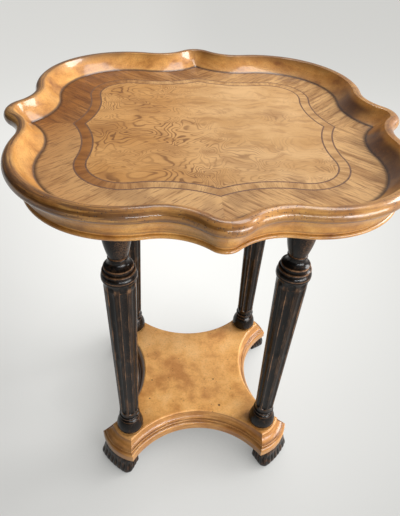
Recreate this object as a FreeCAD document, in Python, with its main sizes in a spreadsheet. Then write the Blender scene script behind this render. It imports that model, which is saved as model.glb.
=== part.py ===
"""Tray top tea table: a serpentine tray on four fluted legs over a concave-sided plinth.

Millimetres. +Z is up, the front is -Y, and the origin is on the floor under the middle of the
table. Every driving dimension is a cell of the sheet "Sizes"; sketches, features and placements
are bound to those cells.
"""
import FreeCAD, Part
import math
import os
import Sketcher

V = FreeCAD.Vector

# ---------------------------------------------------------------------------------------------
# Driving dimensions
# ---------------------------------------------------------------------------------------------
DIMENSIONS = {
    # plan outline of the tray, taken along the outermost line of the rim's nose
    "tip_reach": (306.3, "centre to each pointed mid-side"),
    "tip_radius": (41.7, "round of the point"),
    "cove_radius": (68.0, "hollow beside each point"),
    "lobe_radius": (157.7, "big corner lobe"),
    "lobe_centre": (122.0, "lobe centre, along X and along Y"),
    # offsets inward from the nose line
    "floor_inset": (38.2, "edge of the flat tray floor"),
    "string_outer_inset": (87.5, "outer edge of the outer inlaid line"),
    "string_inner_inset": (103.4, "outer edge of the inner inlaid line"),
    "string_width": (2.3, "width of each inlaid line"),
    # heights
    "floor_level": (700.3, "tray floor above the ground"),
    "rim_rise": (25.5, "top of the rim above the tray floor"),
    "rim_drop": (28.4, "underside of the rim's bead below the tray floor"),
    "base_level": (90.0, "top of the plinth above the ground"),
    "base_thick": (45.0, "plinth"),
    "veneer_thick": (0.8, "face veneers"),
    "board_thick": (18.0, "substrate of the tray floor"),
    # rim moulding
    "nose_radius": (10.8, "round of the rim's nose"),
    "nose_level": (14.7, "widest line of the nose above the tray floor"),
    "crown_inset": (9.7, "highest line of the rim inside the nose line"),
    "crown_back_inset": (15.7, "where the crown rolls over into the broad hollow"),
    "crown_back_drop": (1.1, "that line below the top of the rim"),
    "hollow_radius": (60.0, "broad hollow from the crown down to the tray floor"),
    "nose_turn_inset": (2.2, "where the nose ends below, inside the nose line"),
    "nose_turn_drop": (6.5, "that line below the widest one"),
    "nose_quirk": (2.2, "narrow step between the nose and the hollow under it"),
    "nose_quirk_drop": (1.4, "fall of that step"),
    "cavetto_radius": (27.0, "hollow under the nose"),
    "bead_radius": (3.2, "bead along the rim's lower edge"),
    "bead_inset": (20.6, "middle of the bead inside the nose line"),
    "fillet_width": (2.4, "narrow slope between the hollow and the bead"),
    "fillet_rise": (4.6, "outer line of that slope above the bead"),
    "fillet_fall": (1.2, "fall of that slope"),
    "sole_width": (4.2, "flat under the bead"),
    "rim_foot": (26.4, "underside of the rim's inner part below the tray floor"),
    "tongue_length": (6.0, "tongue of the board in the rim"),
    "tongue_thick": (6.0, "tongue of the board in the rim"),
    "tongue_level": (12.8, "underside of the tongue below the tray floor"),
    "biscuit_width": (13.0, "biscuit across the rim"),
    "biscuit_length": (26.0, "biscuit across the mitre"),
    "biscuit_thick": (3.0, "biscuit"),
    "biscuit_inset": (17.5, "outer edge of the biscuit inside the nose line"),
    "biscuit_level": (2.0, "middle of the biscuit below the tray floor"),
    # cleats under the top
    "cleat_width": (70.0, "batten"),
    "cleat_thick": (22.0, "batten"),
    "cleat_length": (380.0, "batten"),
    "cleat_chamfer": (6.0, "bevel on the batten's lower ends"),
    # legs
    "leg_spacing": (280.0, "between leg centres, both ways"),
    "leg_turn": (15.0, "degrees that the flutes stand off the square"),
    "bun_radius": (27.0, "widest line of the bun at the foot of the leg"),
    "bun_level": (11.0, "that line above the plinth"),
    "bun_seat_radius": (21.5, "bun where it stands in the plinth"),
    "bun_high": (36.5, "head of the bun above the plinth"),
    "bun_high_radius": (18.6, "head of the bun"),
    "ankle_ring_radius": (20.7, "small ring over the bun"),
    "ankle_ring_low": (42.2, "underside of the small ring above the plinth"),
    "ankle_ring_height": (7.0, "small ring"),
    "ankle_ring_bulge": (2.4, "small ring outside its upper and lower lines"),
    "ankle_groove_radius": (17.4, "groove between the bun and the small ring"),
    "shaft_low": (51.0, "foot of the shaft above the plinth"),
    "shaft_high": (400.0, "head of the shaft above the plinth"),
    "shaft_low_radius": (18.8, "shaft at its foot"),
    "shaft_high_radius": (26.5, "shaft at its head"),
    "shaft_flare_radius": (45.0, "hollow that leads the shaft out to the collar"),
    "collar_level": (423.0, "middle of the collar above the plinth"),
    "collar_height": (4.0, "upright face of the collar"),
    "collar_radius": (29.0, "collar"),
    "collar_round": (14.0, "round over the collar"),
    "shoulder_level": (434.2, "middle of the bead over the collar, above the plinth"),
    "shoulder_height": (4.4, "bead over the collar"),
    "shoulder_radius": (27.2, "bead over the collar"),
    "shoulder_bulge": (1.1, "bead over the collar outside its upper and lower lines"),
    "bell_level": (442.6, "edge of the bell above the plinth"),
    "bell_edge": (1.8, "upright face of the bell's edge"),
    "bell_radius": (24.1, "edge of the bell"),
    "bell_step": (1.2, "groove under the bell inside its edge"),
    "bell_round": (6.0, "round of the bell's shoulder"),
    "bell_turn_level": (446.0, "where the bell's round turns into its hollow"),
    "bell_turn_radius": (21.7, "bell at that line"),
    "bell_hollow": (13.0, "hollow of the bell"),
    "neck_level": (461.0, "middle of the neck bead above the plinth"),
    "neck_height": (5.0, "neck bead"),
    "neck_radius": (16.4, "neck bead"),
    "neck_bulge": (1.9, "neck bead outside its upper and lower lines"),
    "cup_level": (465.0, "foot of the cup above the plinth"),
    "cup_low_radius": (15.7, "foot of the cup"),
    "cup_high_level": (518.0, "brim of the cup above the plinth"),
    "cup_high_radius": (24.0, "brim of the cup"),
    "cup_round": (200.0, "round of the cup"),
    "brim_step": (2.2, "groove over the cup inside its brim"),
    "capital_low": (5.0, "underside of the ring over the cup, above the brim"),
    "capital_height": (9.0, "ring over the cup"),
    "capital_radius": (26.0, "ring over the cup"),
    "capital_bulge": (2.8, "ring over the cup outside its upper and lower lines"),
    "block_radius": (24.0, "plain head of the leg"),
    "turned_fillet": (1.6, "height of a narrow slope between two turned lines"),
    "flute_count": (8, "flutes round a shaft"),
    "flute_low_radius": (7.5, "flute at its foot"),
    "flute_high_radius": (10.8, "flute at its head"),
    "flute_depth": (3.6, "flute"),
    "flute_low": (58.0, "lower round of the flute, above the plinth"),
    "flute_high": (410.5, "upper round of the flute, above the plinth"),
    "tenon_radius": (10.0, "tenon at each end of a leg"),
    "tenon_low_length": (20.0, "tenon in the plinth"),
    "tenon_high_length": (18.0, "tenon in the cleat"),
    # plinth
    "arm_reach": (226.7, "centre to the top edge of each arm's end"),
    "arm_end_radius": (64.0, "round of the arm's end at the top edge"),
    "bay_reach": (110.6, "centre to the top edge at the middle of each hollow side"),
    "bay_radius": (178.9, "hollow side at the top edge"),
    "bay_flare": (17.0, "bottom edge of a hollow side outside its top edge"),
    "end_flare": (22.5, "bottom edge of an arm's end outside its top edge"),
    "leg_housing": (0.8, "shallow round seat for a leg in the plinth's top"),
    "edge_round": (4.0, "rounded arris of the plinth's top edge"),
    "edge_quirk": (1.2, "narrow step under the arris"),
    "edge_hollow_radius": (18.0, "upper hollow of the plinth's edge"),
    "edge_hollow_drop": (20.3, "foot of the upper hollow below the plinth's top"),
    "edge_hollow_inset": (8.0, "foot of the upper hollow inside the bottom edge"),
    "edge_bead_inset": (6.6, "upper and lower lines of the edge's bead inside the bottom edge"),
    "edge_bead_height": (5.0, "bead of the plinth's edge"),
    "edge_bead_radius": (2.7, "bead of the plinth's edge"),
    "edge_cove_inset": (4.6, "head of the lower hollow inside the bottom edge"),
    "edge_cove_radius": (9.0, "lower hollow of the plinth's edge"),
    "edge_band": (10.5, "plain band along the plinth's bottom edge"),
    # feet
    "foot_height": (42.0, "reeded foot"),
    "foot_proud": (29.2, "outermost face of the foot beyond the arm's top edge"),
    "foot_width": (87.0, "across the foot behind its front corners"),
    "foot_back_width": (70.0, "across the foot at its back"),
    "foot_depth": (46.0, "along the arm"),
    "foot_waist": (8.0, "the foot's top inside its widest line"),
    "foot_nose_radius": (160.0, "round of the foot's front"),
    "foot_corner_radius": (13.0, "round of the foot's corners"),
    "reed_count": (10, "reeds round the foot's front and its corners"),
    "side_reed_count": (3, "reeds on each side of a foot"),
    "reed_proud": (2.6, "crest of a reed outside the grooves beside it"),
    "glide_radius": (11.0, "nail-in glide"),
    "glide_thick": (3.0, "nail-in glide"),
    "glide_bevel": (1.2, "nail-in glide's lower edge"),
    "glide_pin_radius": (2.0, "nail of the glide"),
    "glide_pin_length": (14.0, "nail of the glide"),
    # fasteners
    "bolt_radius": (4.0, "leg bolt"),
    "bolt_length": (52.0, "leg bolt under its head"),
    "bolt_head_radius": (7.5, "leg bolt's head"),
    "bolt_head_height": (5.0, "leg bolt's head"),
    "bolt_sink": (8.0, "counterbore for the leg bolt's head"),
    "bolt_sink_gap": (1.0, "counterbore all round the leg bolt's head"),
    "bolt_socket_radius": (2.4, "socket in the leg bolt's head"),
    "bolt_socket_depth": (3.0, "socket in the leg bolt's head"),
    "screw_radius": (2.0, "wood screw"),
    "screw_head_radius": (4.0, "wood screw's countersunk head"),
    "screw_sink": (1.0, "head of a wood screw below the face"),
    "cleat_screw_length": (34.0, "screw through a cleat"),
    "cleat_screw_offset": (65.0, "cleat screw from the leg, along the cleat"),
    "cleat_screw_side": (22.0, "cleat screw from the cleat's middle line"),
    "foot_screw_length": (55.0, "screw through a foot"),
    "foot_screw_side": (20.0, "foot screw from the foot's middle line"),
    # clearances
    "fit_gap": (0.1, "all round a tenon, tongue, bolt or screw"),
    "inlay_gap": (0.05, "between neighbouring veneers"),
    "hole_spare": (1.0, "a blind hole beyond the end of what goes into it"),
}

doc = FreeCAD.newDocument("TrayTable")
sheet = doc.addObject("Spreadsheet::Sheet", "Sizes")
sheet.Label = "Sizes"
for row, (alias, (number, note)) in enumerate(DIMENSIONS.items(), start=1):
    sheet.set("A%d" % row, alias)
    sheet.set("B%d" % row, str(number))
    sheet.setAlias("B%d" % row, alias)
    sheet.set("C%d" % row, note)
doc.recompute()


class Size:
    """A number together with the sheet expression that yields it."""

    def __init__(self, number, text=None):
        self.number = float(number)
        self.text = text if text is not None else repr(float(number))

    def _join(self, other, sign, number):
        return Size(number, "(%s %s %s)" % (self.text, sign, other.text))

    def __add__(self, other):
        other = as_size(other)
        return self._join(other, "+", self.number + other.number)

    def __sub__(self, other):
        other = as_size(other)
        return self._join(other, "-", self.number - other.number)

    def __mul__(self, other):
        other = as_size(other)
        return self._join(other, "*", self.number * other.number)

    def __truediv__(self, other):
        other = as_size(other)
        return self._join(other, "/", self.number / other.number)

    def __radd__(self, other):
        return as_size(other) + self

    def __rsub__(self, other):
        return as_size(other) - self

    def __rmul__(self, other):
        return as_size(other) * self

    def __neg__(self):
        return Size(-self.number, "(-%s)" % self.text)

    def __float__(self):
        return self.number


def as_size(value):
    return value if isinstance(value, Size) else Size(value)


def root(value):
    return Size(math.sqrt(value.number), "sqrt(%s)" % value.text)


def size(alias):
    return Size(sheet.get(alias), "Sizes.%s" % alias)


S = {alias: size(alias) for alias in DIMENSIONS}
ROOT2 = math.sqrt(2.0)
OVERSHOOT = 1.0         # how far a cutting outline runs past the face that it cuts
POINTED = 0.5           # a tip rounded less than this is drawn as a point


def number(alias):
    return S[alias].number


# ---------------------------------------------------------------------------------------------
# Sketching helpers
# ---------------------------------------------------------------------------------------------
def new_body(name):
    body = doc.addObject("PartDesign::Body", name)
    body.Label = name
    return body


def place(body, x=0.0, y=0.0, z=0.0, turn=0.0):
    """Put a body at x, y, z, turned about the vertical; Size values stay bound to the sheet."""
    values = [as_size(v) for v in (x, y, z)]
    angle = as_size(turn)
    body.Placement = FreeCAD.Placement(V(*[v.number for v in values]), V(0, 0, 1), angle.number)
    for axis, value in zip("xyz", values):
        body.setExpression(".Placement.Base.%s" % axis, value.text)
    body.setExpression(".Placement.Rotation.Angle", angle.text)


def new_sketch(body, name, plane="XY_Plane", lift=0.0, turn=0.0):
    """A sketch on one of the body's origin planes, lifted off it or turned about the vertical."""
    sketch = body.newObject("Sketcher::SketchObject", name)
    support = [f for f in body.Origin.OriginFeatures if f.Role == plane][0]
    sketch.AttachmentSupport = (support, "")
    sketch.MapMode = "FlatFace"
    lift = as_size(lift)
    if plane == "XY_Plane":
        sketch.AttachmentOffset = FreeCAD.Placement(V(0, 0, lift.number), FreeCAD.Rotation())
        sketch.setExpression("AttachmentOffset.Base.z", lift.text)
    elif turn:
        sketch.AttachmentOffset = FreeCAD.Placement(V(), FreeCAD.Rotation(V(0, 1, 0), turn))
    return sketch


def dimension(sketch, kind, geometry, point, value):
    """Fix one coordinate of a point by a driving constraint bound to the sheet."""
    value = as_size(value)
    if abs(value.number) < 1e-9:
        axis = -2 if kind == "DistanceX" else -1
        sketch.addConstraint(Sketcher.Constraint("PointOnObject", geometry, point, axis))
        return
    if value.number > 0:
        ends = (-1, 1, geometry, point)
    else:
        ends = (geometry, point, -1, 1)
        value = -value
    index = sketch.addConstraint(Sketcher.Constraint(kind, *ends, value.number))
    sketch.setExpression("Constraints[%d]" % index, value.text)


def set_radius(sketch, geometry, value):
    index = sketch.addConstraint(Sketcher.Constraint("Radius", geometry, value.number))
    sketch.setExpression("Constraints[%d]" % index, value.text)


def arc_between(start, end, radius, left):
    """The short arc from start to end whose centre lies left or right of the chord."""
    chord = end - start
    middle = (start + end) * 0.5
    rise = math.sqrt(max(radius ** 2 - chord.Length ** 2 / 4.0, 0.0))
    normal = V(-chord.y, chord.x, 0).normalize()
    centre = middle + normal * (rise if left else -rise)
    circle = Part.Circle(centre, V(0, 0, 1), radius)
    first = math.atan2(start.y - centre.y, start.x - centre.x)
    last = math.atan2(end.y - centre.y, end.x - centre.x)
    if left:
        return Part.ArcOfCircle(circle, first, last), 1, 2
    return Part.ArcOfCircle(circle, last, first), 2, 1


def draw_profile(sketch, corners):
    """A closed outline. Each corner is (x, y) or (x, y, radius, side): with a radius, the edge
    that leaves it is an arc, with its centre on the left or the right of the chord."""
    spots = [V(as_size(c[0]).number, as_size(c[1]).number, 0) for c in corners]
    edges = []
    for index, corner in enumerate(corners):
        start, end = spots[index], spots[(index + 1) % len(spots)]
        if len(corner) == 4:
            radius = as_size(corner[2])
            arc, first, last = arc_between(start, end, radius.number, corner[3] == "left")
            edge = sketch.addGeometry(arc, False)
            edges.append((edge, first, last))
            continue
        edge = sketch.addGeometry(Part.LineSegment(start, end), False)
        edges.append((edge, 1, 2))
    for index, (edge, first, last) in enumerate(edges):
        following, its_first, _ = edges[(index + 1) % len(edges)]
        sketch.addConstraint(Sketcher.Constraint("Coincident", edge, last, following, its_first))
    for (edge, first, _), corner in zip(edges, corners):
        dimension(sketch, "DistanceX", edge, first, corner[0])
        dimension(sketch, "DistanceY", edge, first, corner[1])
        if len(corner) == 4:
            set_radius(sketch, edge, as_size(corner[2]))
    return edges


def add_axis(sketch, low, high):
    """A construction line, the sketch's Axis0, between two points given as (geometry, point)."""
    line = Part.LineSegment(sketch.getPoint(*low), sketch.getPoint(*high))
    axis = sketch.addGeometry(line, True)
    sketch.addConstraint(Sketcher.Constraint("Coincident", axis, 1, *low))
    sketch.addConstraint(Sketcher.Constraint("Coincident", axis, 2, *high))


def add_upright(sketch, x, height):
    """A vertical construction line, the sketch's Axis0, at x."""
    axis = sketch.addGeometry(Part.LineSegment(V(x.number, 0, 0), V(x.number, height.number, 0)),
                              True)
    dimension(sketch, "DistanceX", axis, 1, x)
    dimension(sketch, "DistanceY", axis, 1, 0)
    dimension(sketch, "DistanceX", axis, 2, x)
    dimension(sketch, "DistanceY", axis, 2, height)


def draw_circle(sketch, x, y, radius):
    x, y, radius = as_size(x), as_size(y), as_size(radius)
    circle = Part.Circle(V(x.number, y.number, 0), V(0, 0, 1), radius.number)
    edge = sketch.addGeometry(circle, False)
    dimension(sketch, "DistanceX", edge, 3, x)
    dimension(sketch, "DistanceY", edge, 3, y)
    set_radius(sketch, edge, radius)


# ---------------------------------------------------------------------------------------------
# Features
# ---------------------------------------------------------------------------------------------
def pad(body, sketch, length, name="Pad", downward=False):
    length = as_size(length)
    feature = body.newObject("PartDesign::Pad", name)
    feature.Profile = sketch
    feature.Length = length.number
    feature.setExpression("Length", length.text)
    feature.Reversed = downward
    return feature


def pocket(body, sketch, length, name="Pocket", upward=True, both_ways=False):
    """Cut upward or downward from the sketch, or half the length to each side of it."""
    length = as_size(length)
    feature = body.newObject("PartDesign::Pocket", name)
    feature.Profile = sketch
    feature.Length = length.number
    feature.setExpression("Length", length.text)
    feature.Reversed = upward
    feature.Midplane = both_ways
    return feature


def turn(body, sketch, axis="V_Axis", name="Revolution", cut=False, angle=360.0):
    feature = body.newObject("PartDesign::Groove" if cut else "PartDesign::Revolution", name)
    feature.Profile = sketch
    feature.ReferenceAxis = (sketch, [axis])
    feature.Angle = angle
    feature.Midplane = angle < 360.0
    return feature


def round_the_axis(body, features, count, name="Pattern"):
    count = as_size(count)
    feature = body.newObject("PartDesign::PolarPattern", name)
    feature.Originals = features
    axis = [f for f in body.Origin.OriginFeatures if f.Role == "Z_Axis"][0]
    feature.Axis = (axis, [""])
    feature.Angle = 360.0
    feature.Occurrences = int(count.number)
    feature.setExpression("Occurrences", count.text)
    body.Tip = feature
    return feature


# ---------------------------------------------------------------------------------------------
# The tray's plan outline: tip arc, hollow cove, corner lobe, hollow cove, tip arc per quarter.
# Every line of the tray runs parallel to it, so each is the same outline at another inset.
# ---------------------------------------------------------------------------------------------
TIP_X = S["tip_reach"] - S["tip_radius"]


def cove_centre():
    """Centre of the hollow that touches both the tip arc and the lobe arc from outside."""
    to_tip = S["tip_radius"] + S["cove_radius"]
    to_lobe = S["lobe_radius"] + S["cove_radius"]
    run = S["lobe_centre"] - TIP_X
    rise = S["lobe_centre"]
    span = root(run * run + rise * rise)
    along = (to_tip * to_tip - to_lobe * to_lobe + span * span) / (2 * span)
    off = root(to_tip * to_tip - along * along)
    x = TIP_X + (along * run + off * rise) / span
    y = (along * rise - off * run) / span
    return x, y


COVE_X, COVE_Y = cove_centre()


def touch(x1, y1, x2, y2, reach):
    """The point on the line from centre 1 to centre 2 that is `reach` from centre 1."""
    line = V(x2 - x1, y2 - y1, 0)
    return V(x1, y1, 0) + line * (reach / line.Length)


def draw_quarter(sketch, inset, construction=False):
    """The outline at an inset, from the X axis round to the Y axis. Returns its end points."""
    inset = as_size(inset)
    tip = S["tip_radius"] - inset
    cove = S["cove_radius"] + inset
    lobe = S["lobe_radius"] - inset
    cx, cy = COVE_X.number, COVE_Y.number
    lobe_spot = touch(cx, cy, number("lobe_centre"), number("lobe_centre"), cove.number)
    pointed = tip.number < POINTED
    if pointed:
        start = V(cx - math.sqrt(cove.number ** 2 - cy ** 2), 0, 0)
    else:
        start = touch(cx, cy, TIP_X.number, 0.0, cove.number)
    mirrored = V(lobe_spot.y, lobe_spot.x, 0)
    end = V(start.y, start.x, 0)

    def angle(spot, x, y):
        return math.atan2(spot.y - y, spot.x - x)

    def add_arc(x, y, radius, first, last):
        circle = Part.Circle(V(x, y, 0), V(0, 0, 1), radius)
        return sketch.addGeometry(
            Part.ArcOfCircle(circle, angle(first, x, y), angle(last, x, y)), construction)

    c = number("lobe_centre")
    # the coves run clockwise along the outline, so each is drawn from its far end
    cove_a = add_arc(cx, cy, cove.number, lobe_spot, start)
    lobe_arc = add_arc(c, c, lobe.number, lobe_spot, mirrored)
    cove_b = add_arc(cy, cx, cove.number, end, mirrored)
    for arc, x, y in ((cove_a, COVE_X, COVE_Y), (cove_b, COVE_Y, COVE_X)):
        dimension(sketch, "DistanceX", arc, 3, x)
        dimension(sketch, "DistanceY", arc, 3, y)
    # one radius is enough: tangency hands it on from arc to arc
    set_radius(sketch, cove_a, cove)
    dimension(sketch, "DistanceX", lobe_arc, 3, S["lobe_centre"])
    dimension(sketch, "DistanceY", lobe_arc, 3, S["lobe_centre"])
    sketch.addConstraint(Sketcher.Constraint("Tangent", cove_a, 1, lobe_arc, 1))
    sketch.addConstraint(Sketcher.Constraint("Tangent", lobe_arc, 2, cove_b, 2))
    if pointed:
        sketch.addConstraint(Sketcher.Constraint("PointOnObject", cove_a, 2, -1))
        sketch.addConstraint(Sketcher.Constraint("PointOnObject", cove_b, 1, -2))
        return (cove_a, 2, start), (cove_b, 1, end)
    first = V(TIP_X.number + tip.number, 0, 0)
    last = V(0, first.x, 0)
    tip_a = add_arc(TIP_X.number, 0.0, tip.number, first, start)
    tip_b = add_arc(0.0, TIP_X.number, tip.number, end, last)
    dimension(sketch, "DistanceX", tip_a, 3, TIP_X)
    dimension(sketch, "DistanceY", tip_a, 3, 0)
    dimension(sketch, "DistanceX", tip_b, 3, 0)
    dimension(sketch, "DistanceY", tip_b, 3, TIP_X)
    sketch.addConstraint(Sketcher.Constraint("Tangent", tip_a, 2, cove_a, 2))
    sketch.addConstraint(Sketcher.Constraint("Tangent", tip_b, 1, cove_b, 1))
    sketch.addConstraint(Sketcher.Constraint("PointOnObject", tip_a, 1, -1))
    sketch.addConstraint(Sketcher.Constraint("PointOnObject", tip_b, 2, -2))
    return (tip_a, 1, first), (tip_b, 2, last)


def join_line(sketch, one, other):
    """A straight edge between two ends given as (geometry, point, place)."""
    line = sketch.addGeometry(Part.LineSegment(one[2], other[2]), False)
    sketch.addConstraint(Sketcher.Constraint("Coincident", line, 1, one[0], one[1]))
    sketch.addConstraint(Sketcher.Constraint("Coincident", line, 2, other[0], other[1]))
    return line


def draw_sector(sketch, outer, inner=None):
    """A quarter of the area inside an outline, or between two of them."""
    first, last = draw_quarter(sketch, outer)
    if inner is not None:
        inner_first, inner_last = draw_quarter(sketch, inner)
        join_line(sketch, inner_first, first)
        join_line(sketch, last, inner_last)
        return
    centre = V(0, 0, 0)
    ray = sketch.addGeometry(Part.LineSegment(centre, first[2]), False)
    back = sketch.addGeometry(Part.LineSegment(last[2], centre), False)
    sketch.addConstraint(Sketcher.Constraint("Coincident", ray, 2, first[0], first[1]))
    sketch.addConstraint(Sketcher.Constraint("Coincident", back, 1, last[0], last[1]))
    sketch.addConstraint(Sketcher.Constraint("Coincident", ray, 1, -1, 1))
    sketch.addConstraint(Sketcher.Constraint("Coincident", back, 2, -1, 1))


CORNERS = ("front_right", "back_right", "back_left", "front_left")
CORNER_TURN = {"back_right": 0.0, "back_left": 90.0, "front_left": 180.0, "front_right": 270.0}
CORNER_SIGN = {"back_right": (1, 1), "back_left": (-1, 1), "front_left": (-1, -1),
               "front_right": (1, -1)}


# ---------------------------------------------------------------------------------------------
# Tray top
# ---------------------------------------------------------------------------------------------
def make_top_board():
    """The substrate. Its tongue runs all round in the groove of the rim."""
    body = new_body("top_board")
    face = new_sketch(body, "BoardOutline")
    draw_sector(face, S["floor_inset"] + S["fit_gap"])
    board = pad(body, face, S["board_thick"], "Board")
    round_the_axis(body, [board], 4, "BoardRound")
    board_low = S["veneer_thick"] + S["board_thick"]
    edge = new_sketch(body, "TongueOutline", lift=board_low - S["tongue_level"])
    draw_sector(edge, S["floor_inset"] - S["tongue_length"],
                S["floor_inset"] + S["tongue_thick"])
    tongue = pad(body, edge, S["tongue_thick"], "Tongue")
    round_the_axis(body, [tongue], 4, "TongueRound")
    pilots = new_sketch(body, "ScrewPilots")
    for sign in (-1, 1):
        for x, y in cleat_screw_spots():
            draw_circle(pilots, LEG_PLACE * sign + x, y, S["screw_radius"] + S["fit_gap"])
    reach = S["screw_sink"] + S["cleat_screw_length"] - S["cleat_thick"]
    pocket(body, pilots, reach + S["hole_spare"], "Pilots")
    place(body, z=S["floor_level"] - board_low)
    return body


def make_veneer(name, outer, inner=None, turn_angle=None):
    """A face veneer: one corner of it, or the whole of it if no corner's angle is given."""
    body = new_body(name)
    outline = new_sketch(body, "Outline")
    draw_sector(outline, outer, inner)
    leaf = pad(body, outline, S["veneer_thick"], "Leaf")
    if turn_angle is None:
        round_the_axis(body, [leaf], 4, "LeafRound")
    place(body, z=S["floor_level"] - S["veneer_thick"], turn=turn_angle or 0.0)
    return body


def make_veneers():
    string_end = S["string_outer_inset"] + S["string_width"]
    inner_string_end = S["string_inner_inset"] + S["string_width"]
    made = [
        make_veneer("outer_string", S["string_outer_inset"], string_end),
        make_veneer("cross_band", string_end + S["inlay_gap"],
                    S["string_inner_inset"] - S["inlay_gap"]),
        make_veneer("inner_string", S["string_inner_inset"], inner_string_end),
        make_veneer("burl_field", inner_string_end + S["inlay_gap"]),
    ]
    for corner in CORNERS:
        made.append(make_veneer("border_veneer_" + corner, S["floor_inset"] + S["fit_gap"],
                                S["string_outer_inset"] - S["inlay_gap"], CORNER_TURN[corner]))
    return made


def rim_section():
    """The rim moulding's section at the tip, as (distance from the table's middle, height over
    the tray floor), from the floor's edge over the crown and the nose down to the bead."""
    nose_line = S["tip_reach"]
    floor_edge = nose_line - S["floor_inset"]
    groove_end = floor_edge + S["tongue_length"] + S["fit_gap"]
    groove_low = -S["tongue_level"] - S["fit_gap"]
    groove_high = S["tongue_thick"] - S["tongue_level"] + S["fit_gap"]
    turn_x = nose_line - S["nose_turn_inset"]
    turn_z = S["nose_level"] - S["nose_turn_drop"]
    bead_x = nose_line - S["bead_inset"]
    bead_top = 2 * S["bead_radius"] - S["rim_drop"]
    sole_x = bead_x - S["sole_width"]
    return [
        (floor_edge, 0, S["hollow_radius"], "left"),
        (nose_line - S["crown_back_inset"], S["rim_rise"] - S["crown_back_drop"],
         S["nose_radius"], "right"),
        (nose_line - S["crown_inset"], S["rim_rise"], S["nose_radius"], "right"),
        (nose_line, S["nose_level"], S["nose_radius"], "right"),
        (turn_x, turn_z),
        (turn_x - S["nose_quirk"], turn_z - S["nose_quirk_drop"], S["cavetto_radius"], "left"),
        (bead_x + S["fillet_width"], bead_top + S["fillet_rise"]),
        (bead_x, bead_top + S["fillet_rise"] - S["fillet_fall"]),
        (bead_x, bead_top, S["bead_radius"], "right"),
        (bead_x, -S["rim_drop"]),
        (sole_x, -S["rim_drop"]),
        (sole_x - S["rim_drop"] + S["rim_foot"], -S["rim_foot"]),
        (floor_edge, -S["rim_foot"]),
        (floor_edge, groove_low),
        (groove_end, groove_low),
        (groove_end, groove_high),
        (floor_edge, groove_high),
    ]


def make_rim(corner):
    """One corner of the tray rim: the moulding swept from one mid-side mitre to the next."""
    body = new_body("rim_" + corner)
    path = new_sketch(body, "NoseLine")
    draw_quarter(path, 0)
    section = new_sketch(body, "Moulding", "XZ_Plane")
    draw_profile(section, rim_section())
    sweep = body.newObject("PartDesign::AdditivePipe", "Sweep")
    sweep.Profile = section
    sweep.Spine = (path, [])
    slots = new_sketch(body, "BiscuitSlots", lift=-S["biscuit_level"])
    far = S["tip_reach"] - S["biscuit_inset"] + S["fit_gap"]
    near = S["tip_reach"] - S["biscuit_inset"] - S["biscuit_width"] - S["fit_gap"]
    half = S["biscuit_length"] / 2 + S["fit_gap"]
    draw_profile(slots, [(near, 0), (far, 0), (far, half), (near, half)])
    draw_profile(slots, [(0, near), (half, near), (half, far), (0, far)])
    pocket(body, slots, S["biscuit_thick"] + 2 * S["fit_gap"], "Slots", both_ways=True)
    place(body, z=S["floor_level"], turn=CORNER_TURN[corner])
    return body


def make_biscuits():
    """A biscuit across each mitre of the rim."""
    shapes = []
    wide, long, thick = number("biscuit_width"), number("biscuit_length"), number("biscuit_thick")
    x = number("tip_reach") - number("biscuit_inset") - wide
    z = number("floor_level") - number("biscuit_level") - thick / 2.0
    for quarter in range(4):
        biscuit = Part.makeBox(wide, long, thick, V(x, -long / 2.0, z))
        biscuit.rotate(V(0, 0, 0), V(0, 0, 1), 90.0 * quarter)
        shapes.append(biscuit)
    return make_group("rim_biscuits", shapes)


def make_group(name, shapes):
    feature = doc.addObject("Part::Feature", name)
    feature.Label = name
    feature.Shape = Part.makeCompound(shapes)
    return feature


# ---------------------------------------------------------------------------------------------
# Cleats under the top
# ---------------------------------------------------------------------------------------------
CLEAT_TOP = S["floor_level"] - S["veneer_thick"] - S["board_thick"]
CLEAT_LOW = CLEAT_TOP - S["cleat_thick"]
LEG_PLACE = S["leg_spacing"] / 2


def make_cleat(side, sign):
    """A batten that joins a front leg and a back leg under the top."""
    body = new_body("cleat_" + side)
    half, long = S["cleat_width"] / 2, S["cleat_length"] / 2
    outline = new_sketch(body, "Outline")
    draw_profile(outline, [(-half, -long), (half, -long), (half, long), (-half, long)])
    pad(body, outline, S["cleat_thick"], "Batten")
    bores = new_sketch(body, "TenonBores")
    for way in (-1, 1):
        draw_circle(bores, 0, LEG_PLACE * way, S["tenon_radius"] + S["fit_gap"])
    pocket(body, bores, S["tenon_high_length"] + S["hole_spare"], "TenonBore")
    holes = new_sketch(body, "ScrewHoles")
    for x, y in cleat_screw_spots():
        draw_circle(holes, x, y, S["screw_radius"] + S["fit_gap"])
    pocket(body, holes, S["cleat_thick"], "ScrewHole")
    sinks = new_sketch(body, "ScrewSinks")
    for x, y in cleat_screw_spots():
        draw_circle(sinks, x, y, S["screw_head_radius"] + S["fit_gap"])
    pocket(body, sinks, S["screw_sink"] + S["screw_head_radius"] - S["screw_radius"],
           "ScrewSink")
    bevel = new_sketch(body, "Bevel", "YZ_Plane")
    cut = S["cleat_chamfer"]
    for way in (-1, 1):
        end = long * way
        draw_profile(bevel, [(end, 0), (end, cut), (end - cut * way, 0)])
    pocket(body, bevel, S["cleat_width"] + 2 * OVERSHOOT, "Bevels", both_ways=True)
    place(body, x=LEG_PLACE * sign, z=CLEAT_LOW)
    return body


def cleat_screw_spots():
    spots = []
    for way in (-1, 1):
        for side in (-1, 1):
            y = (LEG_PLACE - S["cleat_screw_offset"]) * way
            spots.append((S["cleat_screw_side"] * side, y))
    return spots


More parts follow.
